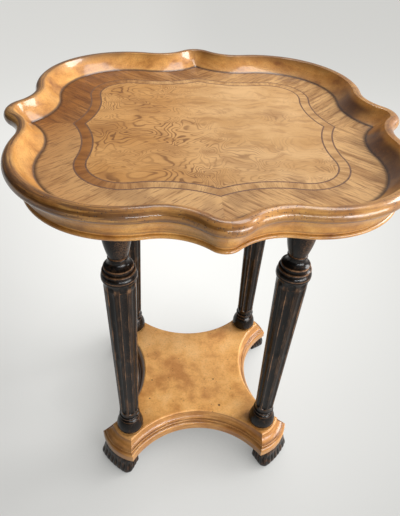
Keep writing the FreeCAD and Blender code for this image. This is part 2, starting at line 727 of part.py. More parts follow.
def make_screw(length, x, y, z):
    """A countersunk wood screw, head down at height z."""
    shank, head = number("screw_radius"), number("screw_head_radius")
    neck, point = head - shank, 2 * shank
    profile = Part.makePolygon([V(0, 0, 0), V(head, 0, 0), V(shank, 0, neck),
                                V(shank, 0, length - point), V(0, 0, length), V(0, 0, 0)])
    screw = Part.Face(profile).revolve(V(0, 0, 0), V(0, 0, 1), 360.0)
    screw.translate(V(x, y, z))
    return screw


def make_cleat_screws():
    shapes = []
    low = CLEAT_LOW.number + number("screw_sink")
    for sign in (-1, 1):
        for x, y in cleat_screw_spots():
            shapes.append(make_screw(number("cleat_screw_length"),
                                     LEG_PLACE.number * sign + x.number, y.number, low))
    return make_group("cleat_screws", shapes)


# ---------------------------------------------------------------------------------------------
# Legs
# ---------------------------------------------------------------------------------------------
LEG_LENGTH = CLEAT_LOW - S["base_level"]


def bead(widest, low, high, bulge):
    """A convex turned ring between two levels, as two corners of a turned outline."""
    return [(widest - bulge, low, round_radius((high - low) / 2, bulge), "left"),
            (widest - bulge, high)]


def round_radius(rise, bulge):
    """Radius of a round that is upright at its widest line and falls in by the bulge over a
    rise."""
    return (rise * rise + bulge * bulge) / (2 * bulge)


def leg_foot_profile():
    """The bun, the small ring over it and the foot of the shaft."""
    widest, level = S["bun_radius"], S["bun_level"]
    seat_radius, high_radius = S["bun_seat_radius"], S["bun_high_radius"]
    under = round_radius(level + S["leg_housing"], widest - seat_radius)
    over = round_radius(S["bun_high"] - level, widest - high_radius)
    ankle_low, fillet = S["ankle_ring_low"], S["turned_fillet"]
    return [
        (seat_radius, -S["leg_housing"], under, "left"),
        (widest, level, over, "left"),
        (high_radius, S["bun_high"]),
        (S["ankle_groove_radius"], S["bun_high"] + fillet),
        (S["ankle_groove_radius"], ankle_low - fillet),
        *bead(S["ankle_ring_radius"], ankle_low, ankle_low + S["ankle_ring_height"],
              S["ankle_ring_bulge"]),
        (S["shaft_low_radius"], S["shaft_low"]),
    ]


def leg_head_profile():
    """Collar, bead, bell, neck and cup, from the head of the shaft to the plain block."""
    fillet = S["turned_fillet"]
    collar_half, shoulder_half = S["collar_height"] / 2, S["shoulder_height"] / 2
    shoulder_top = S["shoulder_level"] + shoulder_half
    bell_groove = S["bell_radius"] - S["bell_step"]
    bell_low = S["bell_level"] - S["bell_edge"] / 2
    bell_high = S["bell_level"] + S["bell_edge"] / 2
    neck_low = S["neck_level"] - S["neck_height"] / 2
    brim = S["cup_high_level"]
    brim_groove = S["cup_high_radius"] - S["brim_step"]
    capital_low = brim + S["capital_low"]
    capital_high = capital_low + S["capital_height"]
    return [
        (S["shaft_high_radius"], S["shaft_high"], S["shaft_flare_radius"], "right"),
        (S["collar_radius"], S["collar_level"] - collar_half),
        (S["collar_radius"], S["collar_level"] + collar_half, S["collar_round"], "left"),
        *bead(S["shoulder_radius"], S["shoulder_level"] - shoulder_half, shoulder_top,
              S["shoulder_bulge"]),
        (bell_groove, shoulder_top + fillet),
        (bell_groove, bell_low - fillet),
        (S["bell_radius"], bell_low),
        (S["bell_radius"], bell_high, S["bell_round"], "left"),
        (S["bell_turn_radius"], S["bell_turn_level"], S["bell_hollow"], "right"),
        (S["neck_radius"] - S["neck_bulge"], neck_low - fillet),
        *bead(S["neck_radius"], neck_low, neck_low + S["neck_height"], S["neck_bulge"]),
        (S["cup_low_radius"], S["cup_level"], S["cup_round"], "left"),
        (S["cup_high_radius"], brim),
        (brim_groove, brim + fillet),
        (brim_groove, capital_low - fillet),
        *bead(S["capital_radius"], capital_low, capital_high, S["capital_bulge"]),
        (S["block_radius"], capital_high + fillet),
        (S["block_radius"], LEG_LENGTH),
    ]


def leg_profile():
    """The turned leg, as (radius, height above the plinth)."""
    tenon = S["tenon_radius"]
    return [
        (0, -S["tenon_low_length"]),
        (tenon, -S["tenon_low_length"]),
        (tenon, -S["leg_housing"]),
        *leg_foot_profile(),
        *leg_head_profile(),
        (tenon, LEG_LENGTH),
        (tenon, LEG_LENGTH + S["tenon_high_length"]),
        (0, LEG_LENGTH + S["tenon_high_length"]),
    ]


def draw_flute(sketch):
    """Half of a tapered, round-ended cutter lying along the shaft's slope."""
    rise = S["shaft_high"] - S["shaft_low"]
    slope = (S["shaft_high_radius"] - S["shaft_low_radius"]) / rise
    low_r, high_r = S["flute_low_radius"], S["flute_high_radius"]
    low_z, high_z = S["flute_low"] + low_r, S["flute_high"]
    low_x = S["shaft_low_radius"] + slope * (low_z - S["shaft_low"]) + low_r - S["flute_depth"]
    high_x = S["shaft_high_radius"] + slope * (high_z - S["shaft_high"]) \
        + high_r - S["flute_depth"]
    run, climb = high_x - low_x, high_z - low_z
    span = root(run * run + climb * climb)
    along_x, along_z = run / span, climb / span
    edges = draw_profile(sketch, [
        (low_x - along_x * low_r, low_z - along_z * low_r, low_r, "left"),
        (low_x + along_z * low_r, low_z - along_x * low_r),
        (high_x + along_z * high_r, high_z - along_x * high_r, high_r, "left"),
        (high_x + along_x * high_r, high_z + along_z * high_r),
    ])
    add_axis(sketch, edges[0][:2], edges[3][:2])


def make_leg(corner):
    body = new_body("leg_" + corner)
    profile = new_sketch(body, "TurnedProfile", "XZ_Plane")
    draw_profile(profile, leg_profile())
    turn(body, profile, name="Turning")
    cutter = new_sketch(body, "FluteCutter", "XZ_Plane")
    draw_flute(cutter)
    flute = turn(body, cutter, "Axis0", "Flute", cut=True)
    round_the_axis(body, [flute], S["flute_count"], "Flutes")
    bore = new_sketch(body, "BoltBore", lift=-S["tenon_low_length"])
    draw_circle(bore, 0, 0, S["bolt_radius"] + S["fit_gap"])
    bolt_end = S["bolt_sink"] + S["bolt_length"] - S["base_thick"]
    pocket(body, bore, S["tenon_low_length"] + bolt_end + S["hole_spare"], "BoltHole")
    sign_x, sign_y = CORNER_SIGN[corner]
    # the flutes of the left legs turn one way and those of the right legs the other
    place(body, x=LEG_PLACE * sign_x, y=LEG_PLACE * sign_y, z=S["base_level"],
          turn=S["leg_turn"] * -sign_x)
    return body


# ---------------------------------------------------------------------------------------------
# Plinth
# ---------------------------------------------------------------------------------------------
FOOT_FRONT = S["arm_reach"] + S["foot_proud"]
FOOT_MIDDLE = FOOT_FRONT - S["foot_depth"] / 2


def plinth_edge(reach, flare):
    """The moulded edge from the top arris down, as (distance from the cut's own zero line,
    height over the underside), for a top edge at a reach and a bottom edge a flare outside it."""
    thick = S["base_thick"]
    half_round = S["edge_round"] / 2
    bottom = reach + flare
    hollow_low = thick - S["edge_hollow_drop"]
    bead_low = hollow_low - S["edge_bead_height"]
    return [
        (reach - half_round, thick, S["edge_round"], "right"),
        (reach + half_round, thick - S["edge_round"]),
        (reach + half_round - S["edge_quirk"], thick - S["edge_round"] - S["edge_quirk"],
         S["edge_hollow_radius"], "left"),
        (bottom - S["edge_hollow_inset"], hollow_low),
        (bottom - S["edge_bead_inset"], hollow_low, S["edge_bead_radius"], "right"),
        (bottom - S["edge_bead_inset"], bead_low),
        (bottom - S["edge_cove_inset"], bead_low, S["edge_cove_radius"], "right"),
        (bottom, S["edge_band"]),
        (bottom, 0),
    ]


def edge_cutter(reach, flare, outside):
    """What is turned away beyond the moulded edge, out to a distance outside it."""
    high = S["base_thick"] + OVERSHOOT
    return [
        (outside, -OVERSHOOT),
        (outside, high),
        (reach - S["edge_round"] / 2, high),
        *plinth_edge(reach, flare),
        (reach + flare, -OVERSHOOT),
    ]


def make_plinth():
    """The shelf: a square cut back by four hollow bays and by the rounded ends of its arms."""
    body = new_body("base_plinth")
    blank = S["arm_reach"] + S["arm_end_radius"]
    outline = new_sketch(body, "Blank")
    draw_profile(outline, [(blank, 0), (0, blank), (-blank, 0), (0, -blank)])
    pad(body, outline, S["base_thick"], "Block")
    # in this frame the arms run along X and Y, and the bays lie on the diagonals
    bay = new_sketch(body, "BaySection", "XZ_Plane", turn=45.0)
    edges = draw_profile(bay, edge_cutter(S["bay_reach"], S["bay_flare"],
                                          S["bay_reach"] + S["bay_radius"]))
    add_axis(bay, edges[0][:2], edges[1][:2])
    bay_cut = turn(body, bay, "Axis0", "Bay", cut=True)
    round_the_axis(body, [bay_cut], 4, "Bays")
    end = new_sketch(body, "EndSection", "XZ_Plane")
    draw_profile(end, edge_cutter(S["arm_reach"], S["end_flare"],
                                  S["arm_reach"] + S["arm_end_radius"] + S["end_flare"]))
    add_upright(end, S["arm_reach"] - S["arm_end_radius"], S["base_thick"])
    end_cut = turn(body, end, "Axis0", "ArmEnd", cut=True, angle=120.0)
    round_the_axis(body, [end_cut], 4, "ArmEnds")
    leg_reach = LEG_PLACE * ROOT2
    spare = S["hole_spare"]
    features = []
    seats = new_sketch(body, "LegSeat", lift=S["base_thick"] - S["leg_housing"])
    draw_circle(seats, leg_reach, 0, S["bun_radius"] + S["fit_gap"])
    features.append(pocket(body, seats, S["leg_housing"] + OVERSHOOT, "Seat"))
    bores = new_sketch(body, "TenonBore", lift=S["base_thick"] - S["tenon_low_length"] - spare)
    draw_circle(bores, leg_reach, 0, S["tenon_radius"] + S["fit_gap"])
    features.append(pocket(body, bores, S["tenon_low_length"] + 2 * spare, "Tenon"))
    holes = new_sketch(body, "BoltHole")
    draw_circle(holes, leg_reach, 0, S["bolt_radius"] + S["fit_gap"])
    features.append(pocket(body, holes, S["base_thick"], "Bolt"))
    sinks = new_sketch(body, "BoltSink")
    draw_circle(sinks, leg_reach, 0, S["bolt_head_radius"] + S["bolt_sink_gap"])
    features.append(pocket(body, sinks, S["bolt_sink"], "Sink"))
    screws = new_sketch(body, "FootScrewHoles")
    for side in (-1, 1):
        draw_circle(screws, FOOT_MIDDLE, S["foot_screw_side"] * side,
                    S["screw_radius"] + S["fit_gap"])
    screw_end = S["screw_sink"] + S["foot_screw_length"] - S["foot_height"]
    features.append(pocket(body, screws, screw_end + spare, "FootScrews"))
    round_the_axis(body, features, 4, "Holes")
    place(body, z=S["base_level"] - S["base_thick"], turn=45.0)
    return body


# ---------------------------------------------------------------------------------------------
# Feet, glides and their fasteners
# ---------------------------------------------------------------------------------------------
FOOT_SECTIONS = (  # (share of the foot's height, share of the waist, share of the reeds' relief)
    (0.0, 0.35, 0.05),
    (0.09, 0.06, 0.30),
    (0.25, 0.0, 1.0),
    (0.60, 0.45, 1.0),
    (1.0, 1.0, 0.85),
)


def foot_line(inside):
    """Half of the plan line through the grooves, from the front's middle to the back corner,
    at a distance inside the foot's widest outline.
    Returns a function from a share of its length to a point, and the share of the front."""
    front = FOOT_FRONT.number - inside
    back = FOOT_FRONT.number - number("foot_depth")
    half, back_half = number("foot_width") / 2.0 - inside, number("foot_back_width") / 2.0 - inside
    nose, corner = number("foot_nose_radius"), number("foot_corner_radius")
    # the corner arc touches the nose arc from inside, and the side line leads from it to the back
    nose_x = front - nose
    corner_y = half - corner
    corner_x = nose_x + math.sqrt((nose - corner) ** 2 - corner_y ** 2)
    sweep_nose = math.atan2(corner_y, corner_x - nose_x)
    to_back = math.hypot(back - corner_x, back_half - corner_y)
    last = math.atan2(back_half - corner_y, back - corner_x) - math.acos(corner / to_back)
    leaves = V(corner_x + corner * math.cos(last), corner_y + corner * math.sin(last), 0)
    side = V(back, back_half, 0) - leaves
    lengths = (nose * sweep_nose, corner * (last - sweep_nose), side.Length)
    total = sum(lengths)

    def point(share):
        run = share * total
        if run <= lengths[0]:
            a = run / nose
            return V(nose_x + nose * math.cos(a), nose * math.sin(a), 0)
        run -= lengths[0]
        if run <= lengths[1]:
            a = sweep_nose + run / corner
            return V(corner_x + corner * math.cos(a), corner_y + corner * math.sin(a), 0)
        run -= lengths[1]
        return leaves + side * (run / side.Length)

    front_share = (lengths[0] + lengths[1]) / total
    return point, front_share


def reed_marks(front_share):
    """Shares of the half line at which the grooves between reeds lie."""
    count, sides = int(number("reed_count")), int(number("side_reed_count"))
    marks = [front_share * 2.0 * i / count for i in range(count // 2 + 1)]
    marks += [front_share + (1.0 - front_share) * (i + 1) / sides for i in range(sides)]
    return marks


def foot_wire(height, shrink, relief):
    """A closed plan line of convex reeds across the front and along both sides."""
    line, front_share = foot_line(shrink + relief)
    marks = reed_marks(front_share)
    shares = [-m for m in reversed(marks[1:])] + marks

    def spot(share):
        p = line(abs(share))
        return V(p.x, p.y if share >= 0 else -p.y, height)

    middle = V(line(0.0).x - number("foot_depth") / 2.0, 0, height)
    edges = []
    for first, last in zip(shares, shares[1:]):
        one, other = spot(first), spot(last)
        centre = spot((first + last) / 2.0)
        outward = centre - middle
        chord = other - one
        normal = V(chord.y, -chord.x, 0).normalize()
        if normal.dot(outward) < 0:
            normal = normal * -1
        crest = centre + normal * relief
        edges.append(Part.Arc(one, crest, other).toShape())
    edges.append(Part.LineSegment(spot(shares[-1]), spot(shares[0])).toShape())
    return Part.Wire(edges)


def make_foot(corner):
    """A reeded foot that swells towards the floor, lofted through scalloped plan lines.
    The reeds die away into a smooth rounded edge at the floor."""
    height, waist, proud = number("foot_height"), number("foot_waist"), number("reed_proud")
    wires = [foot_wire(share * height, waist * drawn_in, proud * relief)
             for share, drawn_in, relief in FOOT_SECTIONS]
    shape = Part.makeLoft(wires, True, False)
    middle = FOOT_MIDDLE.number
    gap = number("fit_gap")
    shank, head = number("screw_radius") + gap, number("screw_head_radius") + gap
    sink = number("screw_sink") + number("screw_head_radius") - number("screw_radius")
    for side in (-1, 1):
        spot = V(middle, number("foot_screw_side") * side, 0)
        shape = shape.cut(Part.makeCylinder(shank, height, spot))
        shape = shape.cut(Part.makeCylinder(head, sink, spot))
    nail_hole = Part.makeCylinder(number("glide_pin_radius") + gap,
                                  number("glide_pin_length") + number("hole_spare"),
                                  V(middle, 0, 0))
    shape = shape.cut(nail_hole)
    feature = doc.addObject("Part::Feature", "foot_" + corner)
    feature.Label = "foot_" + corner
    feature.Shape = shape
    place(feature, z=S["glide_thick"], turn=CORNER_TURN[corner] + 45.0)
    return feature


def make_glide(corner):
    body = new_body("glide_" + corner)
    profile = new_sketch(body, "Profile", "XZ_Plane")
    bevel, pin = S["glide_bevel"], S["glide_pin_radius"]
    pin_end = S["glide_thick"] + S["glide_pin_length"]
    draw_profile(profile, [
        (0, 0),
        (S["glide_radius"] - bevel, 0),
        (S["glide_radius"], bevel),
        (S["glide_radius"], S["glide_thick"]),
        (pin, S["glide_thick"]),
        (pin, pin_end - pin),
        (0, pin_end),
    ])
    turn(body, profile, name="Turning")
    reach = FOOT_MIDDLE / ROOT2
    sign_x, sign_y = CORNER_SIGN[corner]
    place(body, x=reach * sign_x, y=reach * sign_y)
    return body


def make_foot_screws():
    shapes = []
    z = number("glide_thick") + number("screw_sink")
    for corner in CORNERS:
        for side in (-1, 1):
            screw = make_screw(number("foot_screw_length"), FOOT_MIDDLE.number,
                               number("foot_screw_side") * side, z)
            screw.rotate(V(0, 0, 0), V(0, 0, 1), CORNER_TURN[corner] + 45.0)
            shapes.append(screw)
    return make_group("foot_screws", shapes)


def make_leg_bolts():
    shapes = []
    under = number("base_level") - number("base_thick") + number("bolt_sink")
    head, shank = number("bolt_head_radius"), number("bolt_radius")
    tall, long = number("bolt_head_height"), number("bolt_length")
    place_xy = LEG_PLACE.number
    for corner in CORNERS:
        sign_x, sign_y = CORNER_SIGN[corner]
        spot = V(place_xy * sign_x, place_xy * sign_y, under)
        bolt = Part.makeCylinder(head, tall, spot - V(0, 0, tall)).fuse(
            Part.makeCylinder(shank, long, spot)).removeSplitter()
        socket = Part.makeCylinder(number("bolt_socket_radius"), number("bolt_socket_depth"),
                                   spot - V(0, 0, tall))
        shapes.append(bolt.cut(socket))
    return make_group("leg_bolts", shapes)


# ---------------------------------------------------------------------------------------------
# Make everything, test it and write it
# ---------------------------------------------------------------------------------------------
parts = [make_top_board()]
parts += make_veneers()
parts += [make_rim(corner) for corner in CORNERS]
parts.append(make_biscuits())
parts += [make_cleat("left", -1), make_cleat("right", 1)]
parts.append(make_cleat_screws())
parts += [make_leg(corner) for corner in CORNERS]
parts.append(make_plinth())
parts += [make_foot(corner) for corner in CORNERS]
parts += [make_glide(corner) for corner in CORNERS]
parts.append(make_foot_screws())
parts.append(make_leg_bolts())
doc.recompute()

failed = [item.Label for item in doc.Objects if {"Invalid", "Error"} & set(item.State)]
if failed:
    raise SystemExit("failed: " + ", ".join(failed))
for part in parts:
    if part.Shape.isNull() or not part.Shape.isValid() or not part.Shape.Solids:
        raise SystemExit("bad shape: %s" % part.Label)

os.makedirs("parts", exist_ok=True)
for part in parts:
    part.Shape.exportStep(os.path.join("parts", part.Label + ".step"))
    print("%-28s %2d solids %12.1f mm3" % (part.Label, len(part.Shape.Solids), part.Shape.Volume))
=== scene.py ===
"""Looks of the tray top tea table: a glazed, distressed honey rim round a burl and cross-banded
tray floor, four black fluted legs rubbed through to copper, and a honey plinth on reeded feet.

Metres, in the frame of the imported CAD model: +Z up, the front is -Y, the floor is z = 0.
"""
import math

import bpy
from mathutils import Matrix, Vector


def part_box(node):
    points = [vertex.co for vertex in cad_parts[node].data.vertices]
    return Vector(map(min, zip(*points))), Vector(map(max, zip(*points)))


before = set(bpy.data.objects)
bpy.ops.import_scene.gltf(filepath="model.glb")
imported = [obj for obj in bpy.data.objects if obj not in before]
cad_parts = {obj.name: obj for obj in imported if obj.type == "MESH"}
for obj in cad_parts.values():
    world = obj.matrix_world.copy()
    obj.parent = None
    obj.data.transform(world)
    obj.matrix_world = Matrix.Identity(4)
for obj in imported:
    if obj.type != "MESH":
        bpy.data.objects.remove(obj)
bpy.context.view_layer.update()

CORNERS = ("front_left", "front_right", "back_right", "back_left")
SIGNS = {"front_left": (-1, -1), "front_right": (1, -1), "back_right": (1, 1),
         "back_left": (-1, 1)}
DIAGONAL = math.sqrt(0.5)                       # x and y of a unit step towards a corner

# ---------------------------------------------------------------------------------------------
# Sizes that the materials follow, read from the frame where the frame has them
# ---------------------------------------------------------------------------------------------
FLOOR_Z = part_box("burl_field")[1][2]            # tray floor
PLINTH_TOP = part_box("base_plinth")[1][2]
TIP_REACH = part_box("rim_back_right")[1][0]      # nose line at the pointed mid-side
LEG_X = (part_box("leg_front_right")[0][0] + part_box("leg_front_right")[1][0]) / 2
# arcs of the nose line from a pointed mid-side to a corner: the tip, a hollow, the lobe
TIP_RADIUS = 0.0417
COVE_RADIUS = 0.0680
LOBE_RADIUS = 0.1577
LOBE_CENTRE = 0.1220                            # both its x and its y
FLOOR_INSET = 0.0382                            # from the nose line in to the tray floor's edge
METRES_PER_RADIAN = 0.1                         # a middling radius of those arcs


def meet(x1, y1, r1, x2, y2, r2):
    """The point r1 from centre 1 and r2 from centre 2, on the right of the line 1 to 2."""
    run, rise = x2 - x1, y2 - y1
    span = math.hypot(run, rise)
    along = (r1 * r1 - r2 * r2 + span * span) / (2 * span)
    off = math.sqrt(r1 * r1 - along * along)
    return (x1 + (along * run + off * rise) / span, y1 + (along * rise - off * run) / span)


TIP_X = TIP_REACH - TIP_RADIUS
COVE_X, COVE_Y = meet(TIP_X, 0.0, TIP_RADIUS + COVE_RADIUS,
                      LOBE_CENTRE, LOBE_CENTRE, LOBE_RADIUS + COVE_RADIUS)


# ---------------------------------------------------------------------------------------------
# Materials as formulas: a Field is a socket of a node tree with arithmetic on it
# ---------------------------------------------------------------------------------------------
# sockets of a Mix node, which has its pairs for numbers and for colours under the same names
MIX_SHARE = 0
MIX_NUMBERS, MIX_NUMBER_RESULT = (2, 3), 0
MIX_COLOURS, MIX_COLOUR_RESULT = (6, 7), 2


class Field:
    """A number, place or colour that varies over a surface."""

    def __init__(self, paint, socket):
        self.paint = paint
        self.socket = socket

    def math(self, kind, *others, clamp=False):
        node = self.paint.tree.nodes.new("ShaderNodeMath")
        node.operation = kind
        node.use_clamp = clamp
        for slot, value in enumerate((self,) + others):
            self.paint.feed(node.inputs[slot], value)
        return Field(self.paint, node.outputs[0])

    def __add__(self, other):
        return self.math("ADD", other)

    def __sub__(self, other):
        return self.math("SUBTRACT", other)

    def __mul__(self, other):
        return self.math("MULTIPLY", other)

    def __truediv__(self, other):
        return self.math("DIVIDE", other)

    def __neg__(self):
        return self.math("MULTIPLY", -1.0)

    def __rsub__(self, other):
        return -self + other

    __radd__ = __add__
    __rmul__ = __mul__

    def above(self, level, soft):
        """0 below a level and 1 above it, over a soft step centred on it."""
        return self.paint.step(self, level - soft / 2, level + soft / 2)

    def below(self, level, soft):
        return 1.0 - self.above(level, soft)

    def near(self, level, reach):
        """1 at a level, falling smoothly to 0 at a reach either side of it."""
        return self.paint.step((self - level).math("ABSOLUTE"), reach, 0.0)

    def clamped(self):
        return self.math("MULTIPLY", 1.0, clamp=True)


class Paint:
    """One material under construction."""

    def __init__(self, name):
        self.material = bpy.data.materials.new(name)
        self.material.use_nodes = True
        self.tree = self.material.node_tree
        self.tree.nodes.clear()
        self.shader = self.tree.nodes.new("ShaderNodeBsdfPrincipled")
        output = self.tree.nodes.new("ShaderNodeOutputMaterial")
        self.tree.links.new(self.shader.outputs[0], output.inputs["Surface"])
        place = self.tree.nodes.new("ShaderNodeTexCoord").outputs["Object"]
        split = self.tree.nodes.new("ShaderNodeSeparateXYZ")
        self.tree.links.new(place, split.inputs[0])
        self.x, self.y, self.z = (Field(self, split.outputs[axis]) for axis in range(3))

    def feed(self, socket, value):
        """Link a Field to a socket, or set the socket to a plain value."""
        if isinstance(value, Field):
            self.tree.links.new(value.socket, socket)
        else:
            socket.default_value = value

    def step(self, value, low, high):
        """0 at the low end and 1 at the high one, smoothly; the high end may be the lesser."""
        node = self.tree.nodes.new("ShaderNodeMapRange")
        node.interpolation_type = "SMOOTHSTEP"
        self.feed(node.inputs["Value"], value)
        node.inputs["From Min"].default_value = low
        node.inputs["From Max"].default_value = high
        return Field(self, node.outputs[0])

    def vector(self, x, y, z):
        node = self.tree.nodes.new("ShaderNodeCombineXYZ")
        for slot, value in enumerate((x, y, z)):
            self.feed(node.inputs[slot], value)
        return Field(self, node.outputs[0])

    def noise(self, x, y, z, detail=3.0, roughness=0.5, distortion=0.0, seed=0.0):
        """Smooth noise, 0 to 1, at a place times how many features a metre has each way."""
        node = self.tree.nodes.new("ShaderNodeTexNoise")
        node.noise_dimensions = "3D"
        self.feed(node.inputs["Vector"], self.vector(x, y, z + seed))
        node.inputs["Scale"].default_value = 1.0
        node.inputs["Detail"].default_value = detail
        node.inputs["Roughness"].default_value = roughness
        node.inputs["Distortion"].default_value = distortion
        return Field(self, node.outputs["Fac"])

    def even_noise(self, per_metre, **settings):
        """Noise with as many features to the metre in every direction."""
        return self.noise(self.x * per_metre, self.y * per_metre, self.z * per_metre, **settings)

    def cells(self, x, y, z, seed=0.0):
        """Distance to the nearest of scattered points, about one to each unit cube."""
        node = self.tree.nodes.new("ShaderNodeTexVoronoi")
        self.feed(node.inputs["Vector"], self.vector(x, y, z + seed))
        node.inputs["Scale"].default_value = 1.0
        return Field(self, node.outputs["Distance"])

    def blend(self, share, one, other, kind="MIX"):
        """Colour one, going over to the other as share goes from 0 to 1."""
        node = self.tree.nodes.new("ShaderNodeMix")
        node.data_type = "RGBA"
        node.blend_type = kind
        self.feed(node.inputs[MIX_SHARE], share)
        for slot, colour in zip(MIX_COLOURS, (one, other)):
            self.feed(node.inputs[slot], colour if isinstance(colour, Field) else (*colour, 1.0))
        return Field(self, node.outputs[MIX_COLOUR_RESULT])

    def colours(self, value, *stops):
        """A colour ramp through (place, colour) stops."""
        node = self.tree.nodes.new("ShaderNodeValToRGB")
        self.feed(node.inputs[0], value)
        ramp = node.color_ramp
        while len(ramp.elements) < len(stops):
            ramp.elements.new(0.5)
        for element, (place, colour) in zip(ramp.elements, stops):
            element.position = place
            element.color = (*colour, 1.0)
        return Field(self, node.outputs[0])

    def finish(self, colour, roughness, height=None, relief=0.0, coat=0.0, coat_roughness=0.2,
               metallic=0.0, specular=0.5):
        """Colour, roughness, a bump of so many metres, and a clear coat."""
        self.feed(self.shader.inputs["Base Color"], colour)
        self.feed(self.shader.inputs["Roughness"], roughness)
        self.shader.inputs["Metallic"].default_value = metallic
        self.shader.inputs["Specular IOR Level"].default_value = specular
        self.shader.inputs["Coat Weight"].default_value = coat
        self.shader.inputs["Coat Roughness"].default_value = coat_roughness
        if height is not None:
            bump = self.tree.nodes.new("ShaderNodeBump")
            bump.inputs["Strength"].default_value = 1.0
            bump.inputs["Distance"].default_value = relief
            self.feed(bump.inputs["Height"], height)
            self.tree.links.new(bump.outputs[0], self.shader.inputs["Normal"])
        return self.material


def length(dx, dy):
    """How far away a point is whose offsets are dx and dy."""
    return (dx * dx + dy * dy).math("SQRT")


def corner_axes(paint, corner):
    """A point's place along the diagonal out to a corner, and square to it."""
    sign_x, sign_y = SIGNS[corner]
    outward = paint.x * (sign_x * DIAGONAL) + paint.y * (sign_y * DIAGONAL)
    sideways = paint.x * (-sign_y * DIAGONAL) + paint.y * (sign_x * DIAGONAL)
    return outward, sideways


def tray_place(paint):
    """How far inside the nose line a point is, how far along it, and how far from a mitre."""
    u = paint.x.math("ABSOLUTE")
    v = paint.y.math("ABSOLUTE")
    big, small = u.math("MAXIMUM", v), u.math("MINIMUM", v)

    def polar(centre_x, centre_y):
        dx, dy = big - centre_x, small - centre_y
        return dx, dy, length(dx, dy)

    tip_dx, tip_dy, tip_distance = polar(TIP_X, 0.0)
    cove_dx, cove_dy, cove_distance = polar(COVE_X, COVE_Y)
    lobe_dx, lobe_dy, lobe_distance = polar(LOBE_CENTRE, LOBE_CENTRE)
    # which side of the lines that join the arcs' centres
    at_tip = (tip_dy * (COVE_X - TIP_X) - tip_dx * COVE_Y).math("LESS_THAN", 0.0)
    at_lobe = (lobe_dy * (COVE_X - LOBE_CENTRE)
               - lobe_dx * (COVE_Y - LOBE_CENTRE)).math("GREATER_THAN", 0.0)
    tip_inset = TIP_RADIUS - tip_distance
    cove_inset = cove_distance - COVE_RADIUS
    lobe_inset = LOBE_RADIUS - lobe_distance
    inset = cove_inset + at_tip * (tip_inset - cove_inset) + at_lobe * (lobe_inset - cove_inset)
    lobe_angle = lobe_dy.math("ARCTAN2", lobe_dx)
    cove_angle = cove_dy.math("ARCTAN2", -cove_dx)
    along = ((1.0 - at_lobe) * cove_angle - at_lobe * lobe_angle) * METRES_PER_RADIAN
    from_mitre = small
    return inset, along, from_mitre


def wood_grain(paint, along, across, depth, seed=0.0, fine=420.0, coarse=60.0):
    """Straight grain: long streaks, finer pores among them. Returns (streaks, pores)."""
    sway = paint.noise(along * 6.0, across * 9.0, depth * 9.0, detail=2.0, seed=seed) * 0.02
    streaks = paint.noise(along * 3.0, (across + sway) * coarse, depth * coarse, detail=4.0,
                          roughness=0.6, seed=seed + 3.0)
    pores = paint.noise(along * 26.0, (across + sway) * fine, depth * fine, detail=2.0,
                        roughness=0.7, seed=seed + 7.0)
    return streaks, pores


# ---------------------------------------------------------------------------------------------
# Tray floor veneers
# ---------------------------------------------------------------------------------------------
BURL_PALE = (0.660, 0.400, 0.180)
BURL_WARM = (0.520, 0.285, 0.105)
BURL_DEEP = (0.270, 0.120, 0.036)
BURL_LINE = (0.150, 0.060, 0.020)
BORDER_PALE = (0.600, 0.350, 0.145)
BORDER_DARK = (0.360, 0.180, 0.062)
STRING_BROWN = (0.095, 0.036, 0.014)
STRING_PALE = (0.200, 0.090, 0.040)
# glaze, also painted shade, where the rim meets the tray floor
GLAZE_AND_SHADE_BROWN = (0.040, 0.015, 0.006)
SMOKE = (0.540, 0.350, 0.140)           # a tint that darkens the wood under it
AGED = (0.880, 0.720, 0.440)            # a tint that yellows it
# where a look begins and where it is full
BURL_LEFT = (0.06, -0.10)               # x
BURL_FRONT = (-0.02, -0.12)             # y
SMOKY_CORNER = (-0.06, -0.34)           # x - y, towards the back left corner
SMOKY_LEFT = (-0.08, -0.24)             # x
SMOKY_BAND = (-0.04, -0.20)             # x
BORDER_TONES = {"front_left": 0.06, "front_right": 0.00, "back_right": -0.03,
                "back_left": -0.05}
VENEER_GLOSS = {"coat": 0.12, "coat_roughness": 0.30, "specular": 0.22}
VENEER_RELIEF = 0.00012
BAND_RELIEF = 0.00010

BURL_CONTOURS = 34.0                    # contour lines over the range of the figure's noise
EYE_CONTOURS = 3.6                      # contour lines round an eye of strength 1
EYE_DEPTH = 0.8                         # an eye's front to back size over its width
# eyes of the burl: (x, y, reach, strength, darkness)
BURL_EYES = (
    (-0.1115, 0.0870, 0.036, 0.9, 0.25),
    (-0.1600, -0.0115, 0.030, -1.1, 0.75),
    (-0.1235, -0.1003, 0.050, 1.6, 0.20),
    (-0.0577, -0.0903, 0.034, -1.3, 0.35),
    (0.0011, -0.0892, 0.022, 1.0, 0.45),
    (0.0387, -0.1209, 0.024, -1.0, 0.50),
    (0.1169, 0.0425, 0.030, 0.8, 0.65),
    (0.0774, -0.1260, 0.034, 0.9, 0.20),
    (-0.0890, -0.0200, 0.040, 1.1, 0.10),
)


def burl_contours(paint, x, y):
    """Contours that close round the eyes. Returns (wave, the eyes' darkness, the eyes)."""
    rise = paint.noise(x * 9.0, y * 12.0, 0.0, detail=2.0, distortion=0.5,
                       seed=4.4) * BURL_CONTOURS
    darkness, eyes = 0.0, 0.0
    for eye_x, eye_y, reach, strength, dark in BURL_EYES:
        dx, dy = (x - eye_x) / reach, (y - eye_y) / (reach * EYE_DEPTH)
        hill = (-(dx * dx + dy * dy)).math("EXPONENT")
        rise = rise + hill * (EYE_CONTOURS * strength)
        darkness = darkness + hill.math("POWER", 2.0) * dark
        eyes = eyes + hill
    frays = paint.noise(x * 55.0, y * 55.0, 0.0, detail=3.0, seed=19.0) * 0.40
    wave = ((rise + frays) * (2.0 * math.pi)).math("SINE")
    return wave, darkness, eyes


